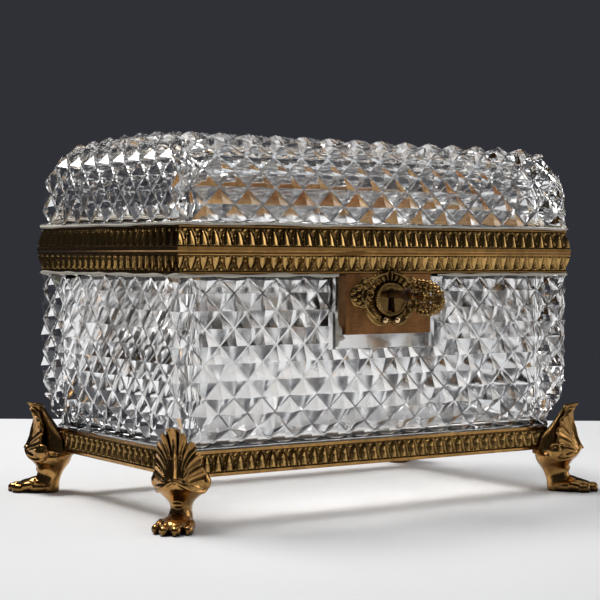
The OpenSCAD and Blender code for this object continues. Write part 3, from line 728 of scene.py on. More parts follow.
def acanthus(angles=384, shares=72):
    """A fluted leaf bent round the corner, front and back.

    Each rib is a quadratic curve from the ribbon at the leaf's foot to its outline: the sideways
    place first closes in on the midrib, then spreads. The outline is polar about LEAF_ROOT, notched
    between the lobes. The front stands at the foot's profile less a parabola across, plus the
    flutes: hollow between raised edges, with a deep groove from lobe to lobe, and a midrib that
    opens into the spout. The back follows behind.
    """
    turn = np.linspace(-180, 180, angles, endpoint=False)
    size = np.abs(turn)
    lobe = np.clip(np.searchsorted(LOBE_ENDS, size, side="right") - 1, 0, len(LOBE_ENDS) - 2)
    low, high = LOBE_ENDS[lobe], LOBE_ENDS[lobe + 1]
    x = np.where(lobe == 0, size / high, np.abs(2 * (size - low) / (high - low) - 1))
    x = np.minimum(x, 1.0)
    reach = np.interp(size, *np.array(LEAF_REACH).T) * (1 - 0.22 * x ** 4 * (size < 92) * (lobe > 0))
    tip_w, tip_z = reach * np.sin(np.radians(turn)), LEAF_ROOT + reach * np.cos(np.radians(turn))
    spread = np.where(size <= 95, np.clip(size / 95, 0, 1) ** 0.62, np.clip((180 - size) / 85, 0, 1))
    root_w = RIBBON_HALF * spread * np.sign(turn)
    root_z = 17.6 - 2.9 * spread ** 2
    share = np.linspace(0, 1, shares + 1)[1:, None] ** 0.9
    w = (1 - share) ** 2 * root_w + 2 * share * (1 - share) * 0.3 * root_w + share ** 2 * tip_w
    z = root_z + share * (tip_z - root_z)
    depth = (0.45 + 0.55 * share) * (size < 92)
    hollow_share = np.where(lobe == 0, 1.5 * share ** 2, 1.9)
    flutes = depth * (hollow_share * x ** 2 - 3.6 * np.exp(-((1 - x) / 0.2) ** 2))
    rib = 1.9 * np.exp(-(w / 0.62) ** 2) * (size < 30) * np.clip((0.8 - share) / 0.35, 0, 1)
    curl = 1.0 * np.clip((share - 0.8) / 0.2, 0, 1) ** 2
    front = np.interp(z, *np.array(LEAF_FRONT).T) - 0.088 * w ** 2 + flutes + rib + curl
    thick = 2.6 * np.sqrt(np.clip(1 - share ** 8, 0, 1)) + 0.5
    sheets = [np.stack([out, w, z], 2) for out in (front, front - thick)]
    rings = np.concatenate([sheets[0], sheets[1][::-1]])
    return capped(rings.reshape(-1, 3), len(rings), angles)


# the leg and the core behind its leaf: height, then inner end, outer end and half width there
LEG = ((0.0, -0.5, 8.5, 4.6), (1.5, -0.7, 9.3, 4.9), (4.5, -1.0, 9.6, 4.5), (7.0, -1.8, 8.6, 3.9),
       (9.0, -2.8, 8.2, 4.0), (10.6, -4.0, 8.6, 5.0), (12.0, -5.0, 9.4, 6.6), (13.4, -5.6, 10.5, 7.9),
       (15.2, -5.9, 12.3, 8.9), (16.9, -5.0, 13.1, 7.8), (18.0, -2.5, 12.9, 4.6),
       (18.8, 1.0, 12.2, 2.2))
LEAF_CORE = ((15.5, -7.0, 9.0, 7.0), (17.0, -7.0, 9.0, 6.2), (22.0, -6.0, 6.2, 5.0),
             (26.0, -1.0, 4.8, 4.2), (30.0, 2.2, 5.2, 3.3), (33.0, 4.3, 6.6, 2.6),
             (35.0, 5.6, 7.6, 2.0))


def foot_bodies():
    """Everything a foot is fused from: s points outwards, w across, z up from the table."""
    bodies = [acanthus(), loft(LEG), loft(LEAF_CORE), ball((8.6, 0, 2.2), (8.8, 6.6, 3.6)),
              ball((10.4, 0, 3.0), (5.2, 4.9, 3.0), -0.45), ball((6.1, 0, 9.6), (2.9, 2.7, 2.2))]
    for w, tip, wide in ((-5.9, 17.4, 1.75), (-2.1, 20.6, 2.0), (2.1, 20.6, 2.0), (5.9, 17.4, 1.75)):
        bodies.append(ball((tip - 2.7, w, 1.75), (2.7, wide, 1.9), 0.12))
        bodies.append(ball((tip - 6.0, w * 0.93, 2.6), (3.9, wide * 0.97, 1.95), -0.25))
        bodies.append(ball((tip - 0.9, w, 1.0), (0.9, 0.75, 1.2), 0.3))
    for side in (-1, 1):
        ribbon = [(13.0, 0, 18.9), (12.7, 2.0, 17.6), (11.2, 4.3, 16.0), (8.9, 6.5, 14.7), (6.2, 8.0, 14.0),
                  (3.6, 8.9, 14.3), (1.6, 9.2, 15.8), (1.0, 9.3, 17.8), (1.9, 9.4, 19.6), (3.6, 9.4, 19.8),
                  (4.5, 9.4, 18.4), (3.6, 9.4, 17.2)]
        bodies.append(tube([(s, w * side, z) for s, w, z in ribbon], (0.75, 0.9)))
        bodies.append(ball((3.0, 9.0 * side, 17.3), (2.7, 2.2, 2.8)))
    bodies.append(ball((8.6, 0, 36.2), (3.0, 2.5, 0.8), 0.12))
    return bodies


def make_foot(name, shape, sx, sy, lean, material):
    """One foot at a corner: held clear of the frame's faces, of the sloping glass and of the table."""
    points, faces = shape
    s, w, z = points.T
    w = w + lean * np.clip((z - 17) / 20, 0, 1)
    z = np.clip(z, 0, None)
    under = BASE[0][2] - 0.06
    slope = np.interp(z, (BASE[1][2], 42.0), (BASE_IN - (BASE_IN + 0.6), BASE_IN - POINT_IN))
    near = math.sqrt(2) * np.where(z < BASE[1][2] + 0.1, 0.0, np.maximum(slope, 0)) - np.abs(w) + 0.12
    inside = (z > under) & (s < near)
    drop = inside & (z - under < near - s)
    z = np.where(drop, under, z)
    s = np.where(inside & ~drop, near, s)
    out = np.array([sx, sy, 0]) / math.sqrt(2)
    across = np.cross([0, 0, 1], out)
    corner = np.array([sx * (HALF_W - BASE_IN), sy * (HALF_D - BASE_IN), 0])
    placed = corner + s[:, None] * out + w[:, None] * across + z[:, None] * [0, 0, 1]
    piece = mesh_object(name.replace("foot", "paw"), placed, [faces], smooth_angle=180)
    face_outwards(piece)
    finish_piece(piece, "casket", "gilt_brass", material, name)


# ---- lock furniture -----------------------------------------------------------------------------

KEY_Z = 84.0
SHIELD_EDGE = ((0, 93.2), (-1.5, 93.1), (-3.0, 92.3), (-4.8, 92.5), (-6.6, 92.0), (-7.8, 90.9), (-9.2, 90.6),
               (-11.2, 90.9), (-13.0, 89.7), (-14.2, 88.1), (-15.8, 87.6), (-17.4, 86.6), (-18.5, 85.0),
               (-18.8, 83.0), (-18.2, 81.0), (-16.6, 79.3), (-14.4, 78.7), (-12.7, 78.3), (-11.4, 76.5),
               (-9.8, 74.4), (-8.0, 72.6), (-6.0, 71.6), (-4.0, 71.4), (-2.2, 71.9), (-0.9, 72.7), (0, 72.8))
SHIELD_RIDGES = (
    (((-7.4, 74.8), (-10.4, 77.0), (-12.2, 80.0), (-12.0, 83.4), (-10.2, 85.4), (-8.8, 84.4),
      (-9.4, 83.0)), 0.8, 1.5),
    (((-1.2, 73.5), (-4.0, 72.7), (-7.0, 73.7), (-9.4, 76.0), (-9.4, 78.0), (-8.2, 78.4)), 0.55, 1.2),
    (((-1.6, 92.2), (-4.6, 91.4), (-7.0, 90.2), (-8.8, 88.4), (-11.2, 88.9), (-12.8, 87.4),
      (-12.0, 86.0)), 0.7, 1.3),
    (((-11.6, 86.8), (-13.6, 84.6), (-13.4, 82.0), (-12.0, 80.8)), 0.5, 1.0),
    (((0, 88.6), (0, 92.4)), 0.6, 1.7), (((-1.3, 88.6), (-2.5, 91.6)), 0.5, 1.5),
    (((-2.8, 88.0), (-4.8, 90.4)), 0.5, 1.4), (((-5.6, 87.6), (-7.2, 89.2)), 0.45, 1.1),
    (((-8.4, 86.6), (-9.8, 88.0)), 0.45, 1.0), (((-9.8, 79.6), (-8.2, 76.4)), 0.4, 0.9),
    (((-6.8, 75.0), (-5.2, 73.4)), 0.4, 0.9))
SHIELD_DOMES = ((-15.8, 83.4, 1.0, 2.1), (-15.6, 85.9, 1.25, 1.8), (-17.5, 84.8, 1.1, 1.6),
                (-17.2, 82.2, 1.2, 1.7), (-15.4, 80.9, 1.3, 1.8), (-13.9, 82.4, 0.8, 1.4),
                (-13.9, 84.6, 0.8, 1.4), (-14.2, 87.1, 0.9, 1.2), (-13.2, 79.9, 0.9, 1.2),
                (-10.6, 90.0, 0.8, 1.0), (-6.0, 91.2, 0.8, 1.1), (-2.9, 74.1, 1.45, 1.7))


def shield_height(x, z):
    """Height of the cartouche over the lock plate: the highest of its plate, ridges, domes and oval.

    A ridge falls off as a bell curve of the distance from its path, a dome is a flattened half
    ball, and the oval is a dished plate inside a milled ring with a groove round it.
    """
    x = -np.abs(x)
    height = 0.75 + 0.12 * np.cos(1.9 * x + 0.8 * z) * np.cos(1.7 * z)
    for path, width, rise in SHIELD_RIDGES:
        line = smooth_path(path)
        distance = np.sqrt(((x[..., None] - line[:, 0]) ** 2 + (z[..., None] - line[:, 1]) ** 2).min(-1))
        height = np.maximum(height, 0.55 + rise * np.exp(-(distance / width) ** 2))
    for centre_x, centre_z, radius, rise in SHIELD_DOMES:
        share = ((x - centre_x) ** 2 + (z - centre_z) ** 2) / radius ** 2
        height = np.maximum(height, 0.5 + rise * np.sqrt(np.clip(1 - share, 0, 1)))
    oval = np.sqrt((x / 7.6) ** 2 + ((z - 81.9) / 6.6) ** 2)
    turn = np.arctan2(z - 81.9, x)
    ring = 1.5 + 1.0 * np.exp(-((oval - 0.9) / 0.07) ** 2) * (0.82 + 0.18 * np.cos(46 * turn))
    groove = 0.9 * np.exp(-((oval - 1.06) / 0.05) ** 2)
    return np.where(oval < 1.0, np.where(oval < 0.8, 1.5, ring), height - groove)


def make_escutcheon(material):
    """The cartouche: spokes from the keyhole's edge to the outline, raised by shield_height."""
    centre_z = 82.0
    turn = np.linspace(0, 2 * math.pi, 640, endpoint=False)
    edge = np.array(SHIELD_EDGE)
    edge = np.concatenate([edge, edge[-2:0:-1] * [-1, 1]])
    around = np.arctan2(edge[:, 1] - centre_z, edge[:, 0]) % (2 * math.pi)
    order = np.argsort(around)
    reach = np.hypot(edge[:, 0], edge[:, 1] - centre_z)
    far = np.interp(turn, around[order], reach[order], period=2 * math.pi)
    out = np.linspace(0, 8, 400)
    x, z = out[:, None] * np.cos(turn), centre_z + out[:, None] * np.sin(turn)
    eye = x ** 2 + (z - KEY_Z) ** 2 < 2.15 ** 2
    slot = (z < KEY_Z) & (z > 76.8) & (np.abs(x) < np.interp(z, (76.8, 83), (1.9, 1.2)))
    near = np.maximum(((eye | slot) * out[:, None]).max(0), 0.3)
    share = np.linspace(0, 1, 84)[:, None]
    reach = near + (far - near) * share
    x, z = reach * np.cos(turn), centre_z + reach * np.sin(turn)
    back = SHIELD[1][1]
    lift = np.clip(shield_height(x, z) * (1 - 0.75 * share ** 24), 0.1, SHIELD[1][1] - SHIELD[0][1])
    front = np.stack([x, back - lift, z], 2)
    behind = np.stack([x[[-1, 0]], np.full((2, len(turn)), back - 0.02), z[[-1, 0]]], 2)
    rings = np.concatenate([front, behind])
    faces = grid_faces(len(rings), len(turn), wrap_rows=True, wrap_columns=True)
    piece = mesh_object("cartouche", rings.reshape(-1, 3), [faces], smooth_angle=50)
    face_outwards(piece)
    finish_piece(piece, "casket", "gilt_brass", material, "escutcheon")


def make_key_bow(material):
    """The pierced bow: scrolls and leaf tips in the plane of the shank, fused into one casting."""
    y0, y1 = BOW[1][1], BOW[0][1]
    unit = (y0 - y1) / 23.0

    def at(along, up, out=0.0):
        return (out, y0 - along * unit * 0.92, KEY_Z + up * 0.84 - 0.075 * along)

    bodies = [tube([at(0, 0), at(2, 0), at(4, 0.2)], 1.7),
              tube([at(2, 0), at(9, -0.2), at(17, -0.6), at(21, -1)], 0.95)]
    for side in (-1, 1):
        drop = -0.6 if side < 0 else 0.0
        bodies += [
            tube([at(1.5, 0.5 * side), at(3, 3.6 * side), at(6.4, 6.0 * side), at(10.6, 6.4 * side + drop),
                  at(15, 5.0 * side + drop), at(18.8, 2.4 * side + drop), at(21.2, -0.6)], (1.15, 0.95)),
            tube([at(4.0, 1.0 * side), at(6.0, 3.4 * side), at(8.6, 3.6 * side), at(9.4, 2.0 * side),
                  at(8.2, 1.4 * side)], 0.75),
            tube([at(11.0, 0.6 * side), at(12.2, 3.2 * side), at(15.0, 2.8 * side), at(15.4, 1.3 * side),
                  at(14.2, 1.0 * side)], 0.7),
            tube([at(16.4, 0.4 * side - 0.5), at(18.0, 1.6 * side - 0.5), at(19.6, 0.6 * side - 0.8)], 0.65),
        ]
        for k, along in enumerate((4.2, 6.8, 9.4, 12.0, 14.6, 17.0, 19.2)):
            edge = np.interp(along, (3, 6.4, 10.6, 15, 18.8, 21.2), (4.2, 6.6, 6.9, 5.8, 3.4, 0.8))
            up = edge * side + drop
            for out in (-0.75, 0.75):
                bodies.append(ball(at(along, up, out), (0.85, 1.45, 0.95 + 0.15 * (k % 2))))
        for along, up in ((7.4, 4.9), (11.2, 4.6), (14.2, 4.2), (5.0, 2.2), (10.2, 1.2), (16.6, 2.8)):
            for out in (-0.9, 0.9):
                bodies.append(ball(at(along, up * side + drop, out), (0.65, 0.95, 0.8)))
    points, faces = fuse(bodies, 0.24)
    points = np.clip(points, BOW[0] + 0.02, BOW[1] - 0.02)
    piece = mesh_object("bow", points, [faces], smooth_angle=180)
    face_outwards(piece)
    finish_piece(piece, "key", "gilt_brass", material, "key_bow")


# ---- bedding that shows -------------------------------------------------------------------------

def lock_lump(material):
    """Plaster that squeezed out at the lock plate's lower left corner, fused from balls."""
    left, y, low = LOCK[0][0], COVER[1][1] - 2.2, LOCK[0][2]
    bodies = [ball((left - 1.5, y, low + 1.3), (1.7, 1.9, 2.3)),
              ball((left - 0.9, y - 0.3, low - 1.2), (2.1, 1.8, 1.3)),
              ball((left - 2.3, y, low - 2.8), (1.0, 1.4, 2.0)),
              ball((left - 2.2, y + 0.2, low + 4.0), (0.8, 1.3, 2.6))]
    points, faces = fuse(bodies, 0.25, 3)
    piece = mesh_object("bead_lock", points, [faces], smooth_angle=180)
    face_outwards(piece)
    finish_piece(piece, "casket", "plaster", material)


BEAD_STEP = 0.9   # distance between the plaster line's cross-sections, in mm


def waves(rng, length, count, heights, spans):
    """A few sines of the distance, each with a height, a span and a start drawn at random."""
    return sum(rng.uniform(*heights) * np.sin(length / rng.uniform(*spans) + rng.uniform(0, 6))
               for _ in range(count))


def bead(name, inset, z, thick, tall, gap, seed, body, material):
    """A thin uneven line of plaster along a rim's edge: an ellipse carried round, waved and lumpy.

    Its size at a point is its mean size times one plus a few sines of the distance; gap is the half
    width left open at the lock.
    """
    loop = rounded_loop(HALF_W - inset, HALF_D - inset, 1.5, 6)
    loop = loop[np.argsort(np.arctan2(loop[:, 0], -loop[:, 1]) % (2 * math.pi))]
    path = np.concatenate([[[gap, inset - HALF_D]], loop, [[-gap, inset - HALF_D]]])
    steps = np.linalg.norm(np.diff(path, axis=0), axis=1)
    path = even_rail(path, int(steps.sum() / BEAD_STEP))
    rng = np.random.default_rng(seed)
    length = np.arange(len(path)) * BEAD_STEP
    size = np.clip(1 + waves(rng, length, 7, (0.06, 0.16), (1.2, 9)), 0.35, 1.5)[:, None]
    lift = waves(rng, length, 4, (0.03, 0.08), (2, 12))
    along = np.gradient(path, axis=0)
    along /= np.linalg.norm(along, axis=1, keepdims=True)
    outwards = np.stack([along[:, 1], -along[:, 0]], 1)
    a = np.linspace(0, 2 * math.pi, 10, endpoint=False)[None]
    out = size * thick * np.cos(a)
    up = size * tall * np.sin(a) + lift[:, None]
    points = np.stack([path[:, :1] + outwards[:, :1] * out, path[:, 1:] + outwards[:, 1:] * out, z + up], 2)
    shape, faces = capped(points.reshape(-1, 3), len(path), 10)
    piece = mesh_object(name, shape, faces, smooth_angle=60)
    face_outwards(piece)
    finish_piece(piece, body, "plaster", material)


# ---- materials ----------------------------------------------------------------------------------

class Nodes:
    """Small helper that adds and links nodes in one tree."""

    def __init__(self, tree):
        self.tree = tree

    def add(self, kind, **settings):
        node = self.tree.nodes.new(kind)
        for key, value in settings.items():
            setattr(node, key, value)
        return node

    def link(self, source, target):
        self.tree.links.new(source, target)

    def put(self, socket, value):
        """Links value if it is a socket, else sets it as the socket's default."""
        if isinstance(value, bpy.types.NodeSocket):
            self.link(value, socket)
        else:
            socket.default_value = value

    def math(self, operation, a, b=0.0, clamp=False):
        node = self.add("ShaderNodeMath", operation=operation, use_clamp=clamp)
        self.put(node.inputs[0], a)
        self.put(node.inputs[1], b)
        return node.outputs[0]

    def mix(self, factor, a, b):
        """A colour between a and b: the node's sockets 6 and 7 in and 2 out are the colours."""
        node = self.add("ShaderNodeMix", data_type="RGBA", blend_type="MIX")
        self.put(node.inputs[0], factor)
        self.put(node.inputs[6], a)
        self.put(node.inputs[7], b)
        return node.outputs[2]

    def span(self, value, low, high, to_low=0.0, to_high=1.0):
        node = self.add("ShaderNodeMapRange")
        for k, v in enumerate((value, low, high, to_low, to_high)):
            self.put(node.inputs[k], v)
        return node.outputs[0]

    def noise(self, where, scale, detail=3.0, roughness=0.5):
        node = self.add("ShaderNodeTexNoise")
        self.put(node.inputs["Vector"], where)
        node.inputs["Scale"].default_value = scale
        node.inputs["Detail"].default_value = detail
        node.inputs["Roughness"].default_value = roughness
        return node.outputs["Fac"]

    def stretched(self, where, scale):
        node = self.add("ShaderNodeMapping")
        self.put(node.inputs["Vector"], where)
        node.inputs["Scale"].default_value = scale
        return node.outputs[0]


def effect_group(name, inputs, outputs, build):
    """A shader node group with named sockets, filled in by build."""
    tree = bpy.data.node_groups.new(name, "ShaderNodeTree")
    for label, kind, default in inputs:
        socket = tree.interface.new_socket(label, in_out="INPUT", socket_type=kind)
        socket.default_value = default
    for label, kind in outputs:
        tree.interface.new_socket(label, in_out="OUTPUT", socket_type=kind)
    n = Nodes(tree)
    build(n, n.add("NodeGroupInput").outputs, n.add("NodeGroupOutput").inputs)
    return tree


def colour4(colour):
    return (*colour[:3], 1.0)


def build_wear_and_painted_shade(n, given, out):
    """Patina and painted shade in the hollows, laid by an ambient-occlusion mask, bright worn high points,
    tarnish clouds and fine casting grain.
    """
    where = n.add("ShaderNodeTexCoord").outputs["Object"]
    # ambient occlusion darkens the hollows towards the Hollow colour: painted shade on top of the dark metal
    # there
    hollow_shade = n.add("ShaderNodeAmbientOcclusion", samples=6, only_local=False)
    n.link(given["Reach"], hollow_shade.inputs["Distance"])
    open_share = n.span(hollow_shade.outputs["AO"], 0.35, 0.97)
    cloud = n.noise(where, 95.0, 4.0)
    grain = n.noise(where, 1500.0, 2.0)
    speck = n.noise(where, 420.0, 3.0, 0.6)
    lift = n.math("MULTIPLY", n.math("SUBTRACT", cloud, 0.5), 0.9)
    level = n.math("ADD", n.math("MULTIPLY", open_share, given["Relief"]), lift, clamp=True)
    level = n.math("MULTIPLY", level, n.span(speck, 0.3, 0.55, 0.65, 1.0), clamp=True)
    n.link(n.mix(level, given["Hollow"], given["Bright"]), out["Color"])
    n.link(n.span(level, 0.0, 1.0, 0.36, 0.12), out["Roughness"])
    height = n.math("ADD", n.math("MULTIPLY", grain, 0.4), n.math("MULTIPLY", speck, 0.6))
    n.link(height, out["Height"])


def build_scratches(n, given, out):
    """Fine wiping scratches in two directions, with cloudy dullness between them."""
    where = n.add("ShaderNodeTexCoord").outputs["Object"]
    first = n.noise(n.stretched(where, (0.06, 1.0, 1.0)), 2600.0, 2.0)
    second = n.noise(n.stretched(where, (1.0, 1.0, 0.08)), 1900.0, 2.0)
    cloud = n.noise(where, 120.0, 4.0)
    lines = n.math("ADD", n.math("MULTIPLY", first, 0.6), n.math("MULTIPLY", second, 0.4))
    n.link(lines, out["Height"])
    n.link(n.math("MULTIPLY", cloud, n.span(lines, 0.35, 0.65, 0.8, 1.2)), out["Dullness"])


def principled(name):
    material = bpy.data.materials.new(name)
    material.use_nodes = True
    n = Nodes(material.node_tree)
    return material, n, material.node_tree.nodes["Principled BSDF"]


def bump(n, shader, height, distance, strength=0.5):
    node = n.add("ShaderNodeBump")
    node.inputs["Distance"].default_value = distance
    node.inputs["Strength"].default_value = strength
    n.link(height, node.inputs["Height"])
    n.link(node.outputs["Normal"], shader.inputs["Normal"])


def group_node(n, name):
    node = n.add("ShaderNodeGroup")
    node.node_tree = bpy.data.node_groups[name]
    return node


def cast_brass(name, bright, dark, reach, relief_floor=1.0, relief_attribute=False):
    """Antique cast brass, its hollows darkened by ambient occlusion as painted shade over the dark metal;
    with a relief attribute the high points are brighter still.
    """
    material, n, shader = principled(name)
    wear_and_painted_shade = group_node(n, "wear_and_painted_shade")
    wear_and_painted_shade.inputs["Bright"].default_value = colour4(bright)
    wear_and_painted_shade.inputs["Hollow"].default_value = colour4(dark)
    wear_and_painted_shade.inputs["Reach"].default_value = reach
    if relief_attribute:
        height = n.add("ShaderNodeAttribute", attribute_name="relief").outputs["Fac"]
        n.link(n.span(height, 0.1, 0.75, 0.35, relief_floor), wear_and_painted_shade.inputs["Relief"])
    else:
        wear_and_painted_shade.inputs["Relief"].default_value = relief_floor
    n.link(wear_and_painted_shade.outputs["Color"], shader.inputs["Base Color"])
    n.link(wear_and_painted_shade.outputs["Roughness"], shader.inputs["Roughness"])
    shader.inputs["Metallic"].default_value = 1.0
    bump(n, shader, wear_and_painted_shade.outputs["Height"], 0.00008)
    return material


def plain_metal(name, colour, dark, rough_low, rough_high):
    """Plain rolled or filed metal with wiping scratches and a cloudy tarnish."""
    material, n, shader = principled(name)
    wiped = group_node(n, "scratches")
    tarnish = n.span(wiped.outputs["Dullness"], 0.3, 0.7)
    n.link(n.mix(tarnish, colour4(colour), colour4(dark)), shader.inputs["Base Color"])
    n.link(n.span(wiped.outputs["Dullness"], 0.25, 0.75, rough_low, rough_high), shader.inputs["Roughness"])
    shader.inputs["Metallic"].default_value = 1.0
    bump(n, shader, wiped.outputs["Height"], 0.00003)
    return material


def clear_crystal(name, roughness):
    """Clear lead crystal that lets part of the light through to what it shades."""
    material, n, shader = principled(name)
    shader.inputs["Base Color"].default_value = (0.985, 0.99, 0.995, 1)
    shader.inputs["Roughness"].default_value = roughness
    shader.inputs["IOR"].default_value = 1.56
    shader.inputs["Transmission Weight"].default_value = 1.0
    shadow = n.add("ShaderNodeLightPath").outputs["Is Shadow Ray"]
    n.link(n.span(shadow, 0.0, 1.0, 1.0, 0.22), shader.inputs["Alpha"])
    return material


def plaster_material(colour):
    material, n, shader = principled("bedding plaster")
    where = n.add("ShaderNodeTexCoord").outputs["Object"]
    grain = n.noise(where, 900.0, 5.0, 0.7)
    n.link(n.mix(grain, colour4([c * 0.8 for c in colour]), colour4(colour)), shader.inputs["Base Color"])
    shader.inputs["Roughness"].default_value = 0.85
    bump(n, shader, grain, 0.0002)
    return material


def make_materials(finish):
    """Every finish of the casket, by name."""
    number = "NodeSocketFloat"
    effect_group("wear_and_painted_shade",
                 [("Bright", "NodeSocketColor", (0.8, 0.6, 0.2, 1)),
                  ("Hollow", "NodeSocketColor", (0.1, 0.05, 0.01, 1)),
                  ("Relief", number, 1.0), ("Reach", number, 0.0022)],
                 [("Color", "NodeSocketColor"), ("Roughness", number), ("Height", number)], build_wear_and_painted_shade)
    effect_group("scratches", [], [("Height", number), ("Dullness", number)], build_scratches)
    dark = [c * 0.55 for c in finish.gilt]
    copper_dark = [c * 0.45 for c in finish.copper]
    steel_dark = [c * 0.35 for c in finish.steel]
    # the hollow colours of the cast finishes follow an ambient-occlusion mask: dark metal of the hollows plus
    # painted shade
    cast_brass("gilt leaf", finish.gilt, finish.patina_and_shade, 0.0022, 1.0, relief_attribute=True)
    cast_brass("gilt casting", (0.54, 0.3, 0.1), (0.03, 0.014, 0.0045), 0.0045, 0.8)
    cast_brass("dark casting", [c * 0.6 for c in finish.gilt], [c * 0.6 for c in finish.patina_and_shade],
               0.003, 0.95)
    plain_metal("dark brass", dark, finish.patina_and_shade, 0.25, 0.45)
    plain_metal("gilt lining", (0.85, 0.52, 0.2), (0.5, 0.27, 0.09), 0.2, 0.36)
    plain_metal("bright pins", (0.95, 0.72, 0.42), (0.7, 0.48, 0.24), 0.12, 0.3)
    plain_metal("lock plate", finish.copper, copper_dark, 0.24, 0.42)
    plain_metal("browned steel", finish.steel, steel_dark, 0.28, 0.5)
    clear_crystal("cut crystal", 0.0)
    clear_crystal("fire-polished crystal", 0.08)
    plaster_material(finish.plaster)


# ---- stage --------------------------------------------------------------------------------------

def soft_box(name, where, towards, size, power, colour):
    """A rectangular soft light in metres, turned to face a point."""
    light = bpy.data.lights.new(name, "AREA")
    light.shape = "RECTANGLE"
    light.size, light.size_y = size
    light.energy = power
    light.color = colour
    made = bpy.data.objects.new(name, light)
    made.location = where
    made.rotation_euler = (Vector(towards) - Vector(where)).to_track_quat("-Z", "Y").to_euler()
    bpy.context.scene.collection.objects.link(made)


def camera_frame(stage):
    """Camera matrix: it looks at the aim point from the azimuth and elevation, then rolls."""
    a, e = stage.azimuth, stage.elevation
    back = Vector((math.sin(a) * math.cos(e), -math.cos(a) * math.cos(e), math.sin(e)))
    right = Vector((math.cos(a), math.sin(a), 0.0))
    up = back.cross(right)
    axes = Matrix((right, up, back)).transposed() @ Matrix.Rotation(stage.roll, 3, "Z")
    aim = Vector(place(stage.aim))
    matrix = axes.to_4x4()
    matrix.translation = aim + back * stage.distance
    return matrix


def make_stage(stage):
    """A pale table, a dark backdrop, four soft lights and the camera."""
    matrix = camera_frame(stage)
    camera = bpy.data.objects.new("camera", bpy.data.cameras.new("camera"))
    camera.data.lens = stage.lens
    camera.data.clip_start = 0.01
    camera.matrix_world = matrix
    bpy.context.scene.collection.objects.link(camera)
    bpy.context.scene.camera = camera

    a = stage.azimuth
    into = np.array([-math.sin(a), math.cos(a)])
    right = np.array([math.cos(a), math.sin(a)])
    near, far, left, side, thick = -1.6, stage.table_behind, stage.table_left, 1.6, 30.0
    corners = [(near, -left), (near, side), (far, side), (far, -left)]
    flat = np.array([(into * f + right * s) / MM for f, s in corners])
    top = np.column_stack([flat, np.zeros(4)])
    points = np.concatenate([top, top - [0, 0, thick]])
    faces = [[0, 1, 2, 3], [7, 6, 5, 4], [0, 4, 5, 1], [1, 5, 6, 2], [2, 6, 7, 3], [3, 7, 4, 0]]
    table = mesh_object("table", points, [faces])
    material, n, shader = principled("table")
    where = n.add("ShaderNodeTexCoord").outputs["Object"]
    grain = n.noise(where, 700.0, 3.0)
    speckled = n.mix(grain, colour4([c * 0.97 for c in stage.table]), colour4(stage.table))
    n.link(speckled, shader.inputs["Base Color"])
    shader.inputs["Roughness"].default_value = 0.55
    table.data.materials.append(material)

    world = bpy.data.worlds.new("backdrop")
    bpy.context.scene.world = world
    world.use_nodes = True
    world.node_tree.nodes["Background"].inputs["Color"].default_value = colour4(stage.backdrop)

    centre = MIDDLE + [0, 0, 0.07]
    soft_box("back_top", centre + [-0.30, 0.60, 1.25], centre, (0.65, 0.65), 20, (1.0, 0.98, 0.95))
    soft_box("right", centre + [1.30, -0.45, 0.40], centre, (0.7, 0.7), 3.4, (1.0, 0.97, 0.93))
    soft_box("front_right", centre + [0.85, -1.25, 0.35], centre, (0.9, 0.7), 0.9, (1.0, 0.97, 0.93))
    soft_box("overhead", centre + [0.2, -0.1, 1.5], centre, (1.8, 1.8), 7, (0.95, 0.98, 1.0))
    view = bpy.context.scene.view_settings
    view.view_transform = "Standard"
    view.look = "None"
    bpy.context.scene.cycles.max_bounces = 20
    bpy.context.scene.cycles.transmission_bounces = 20
    bpy.context.scene.cycles.glossy_bounces = 6


def crystal_materials():
    return bpy.data.materials["cut crystal"], bpy.data.materials["fire-polished crystal"]


# ---- operators ----------------------------------------------------------------------------------

class CASKET_OT_materials(bpy.types.Operator):
    """Makes the finishes that the pieces share"""
    bl_idname = "casket.materials"
    bl_label = "Finishes"

    def execute(self, context):
        make_materials(context.scene.casket_finish)
        return {"FINISHED"}


class CASKET_OT_body_crystal(bpy.types.Operator):
    """Cuts the clear body"""
    bl_idname = "casket.body_crystal"
    bl_label = "Crystal body"

    def execute(self, context):
        make_body_crystal(context.scene.casket_crystal, *crystal_materials())
        return {"FINISHED"}


class CASKET_OT_lid_crystal(bpy.types.Operator):
    """Cuts the domed lid"""
    bl_idname = "casket.lid_crystal"
    bl_label = "Crystal lid"

    def execute(self, context):
        make_lid_crystal(context.scene.casket_crystal, *crystal_materials())
        return {"FINISHED"}


class CASKET_OT_mouldings(bpy.types.Operator):
    """Lays the leaf mouldings over the two rims and the base frame"""
    bl_idname = "casket.mouldings"
    bl_label = "Leaf mouldings"

    def execute(self, context):
        s = context.scene.casket_moulding
        gilt = bpy.data.materials["gilt leaf"]
        leaves = (s.long_leaves, s.short_leaves)
        hinge_low, hinge_high = node_box("hinge_leaf_body")[0], node_box("hinge_leaf_lid")[1]
        seat_y = hinge_low[1]
        seat_half = hinge_high[0] + 0.2
        top, low, foot = BODY_TOP, LID_BOTTOM, BASE[0][2]
        leaf_moulding("leaves_body", [(1.75, top - 6.9), (1.5, top - 4.6), (0.8, top - 1.4)],
                      top - 1.5, top - 6.9, leaves, s, gilt, "casket",
                      (seat_half, seat_y, top - 7.6, top + 1))
        leaf_moulding("leaves_lid", [(0.75, low + 2.15), (1.2, low + 5.2), (1.8, low + 8.5)],
                      low + 2.2, low + 8.5, leaves, s, gilt, "lid",
                      (seat_half, seat_y, low - 1, low + 7.6))
        leaf_moulding("leaves_base", [(BASE_IN + 0.9, foot + 1.65), (BASE_IN + 1.1, foot + 5),
                                      (BASE_IN + 0.9, foot + 8.15)],
                      foot + 1.8, foot + 8.1, leaves, s, gilt, "casket")
        return {"FINISHED"}


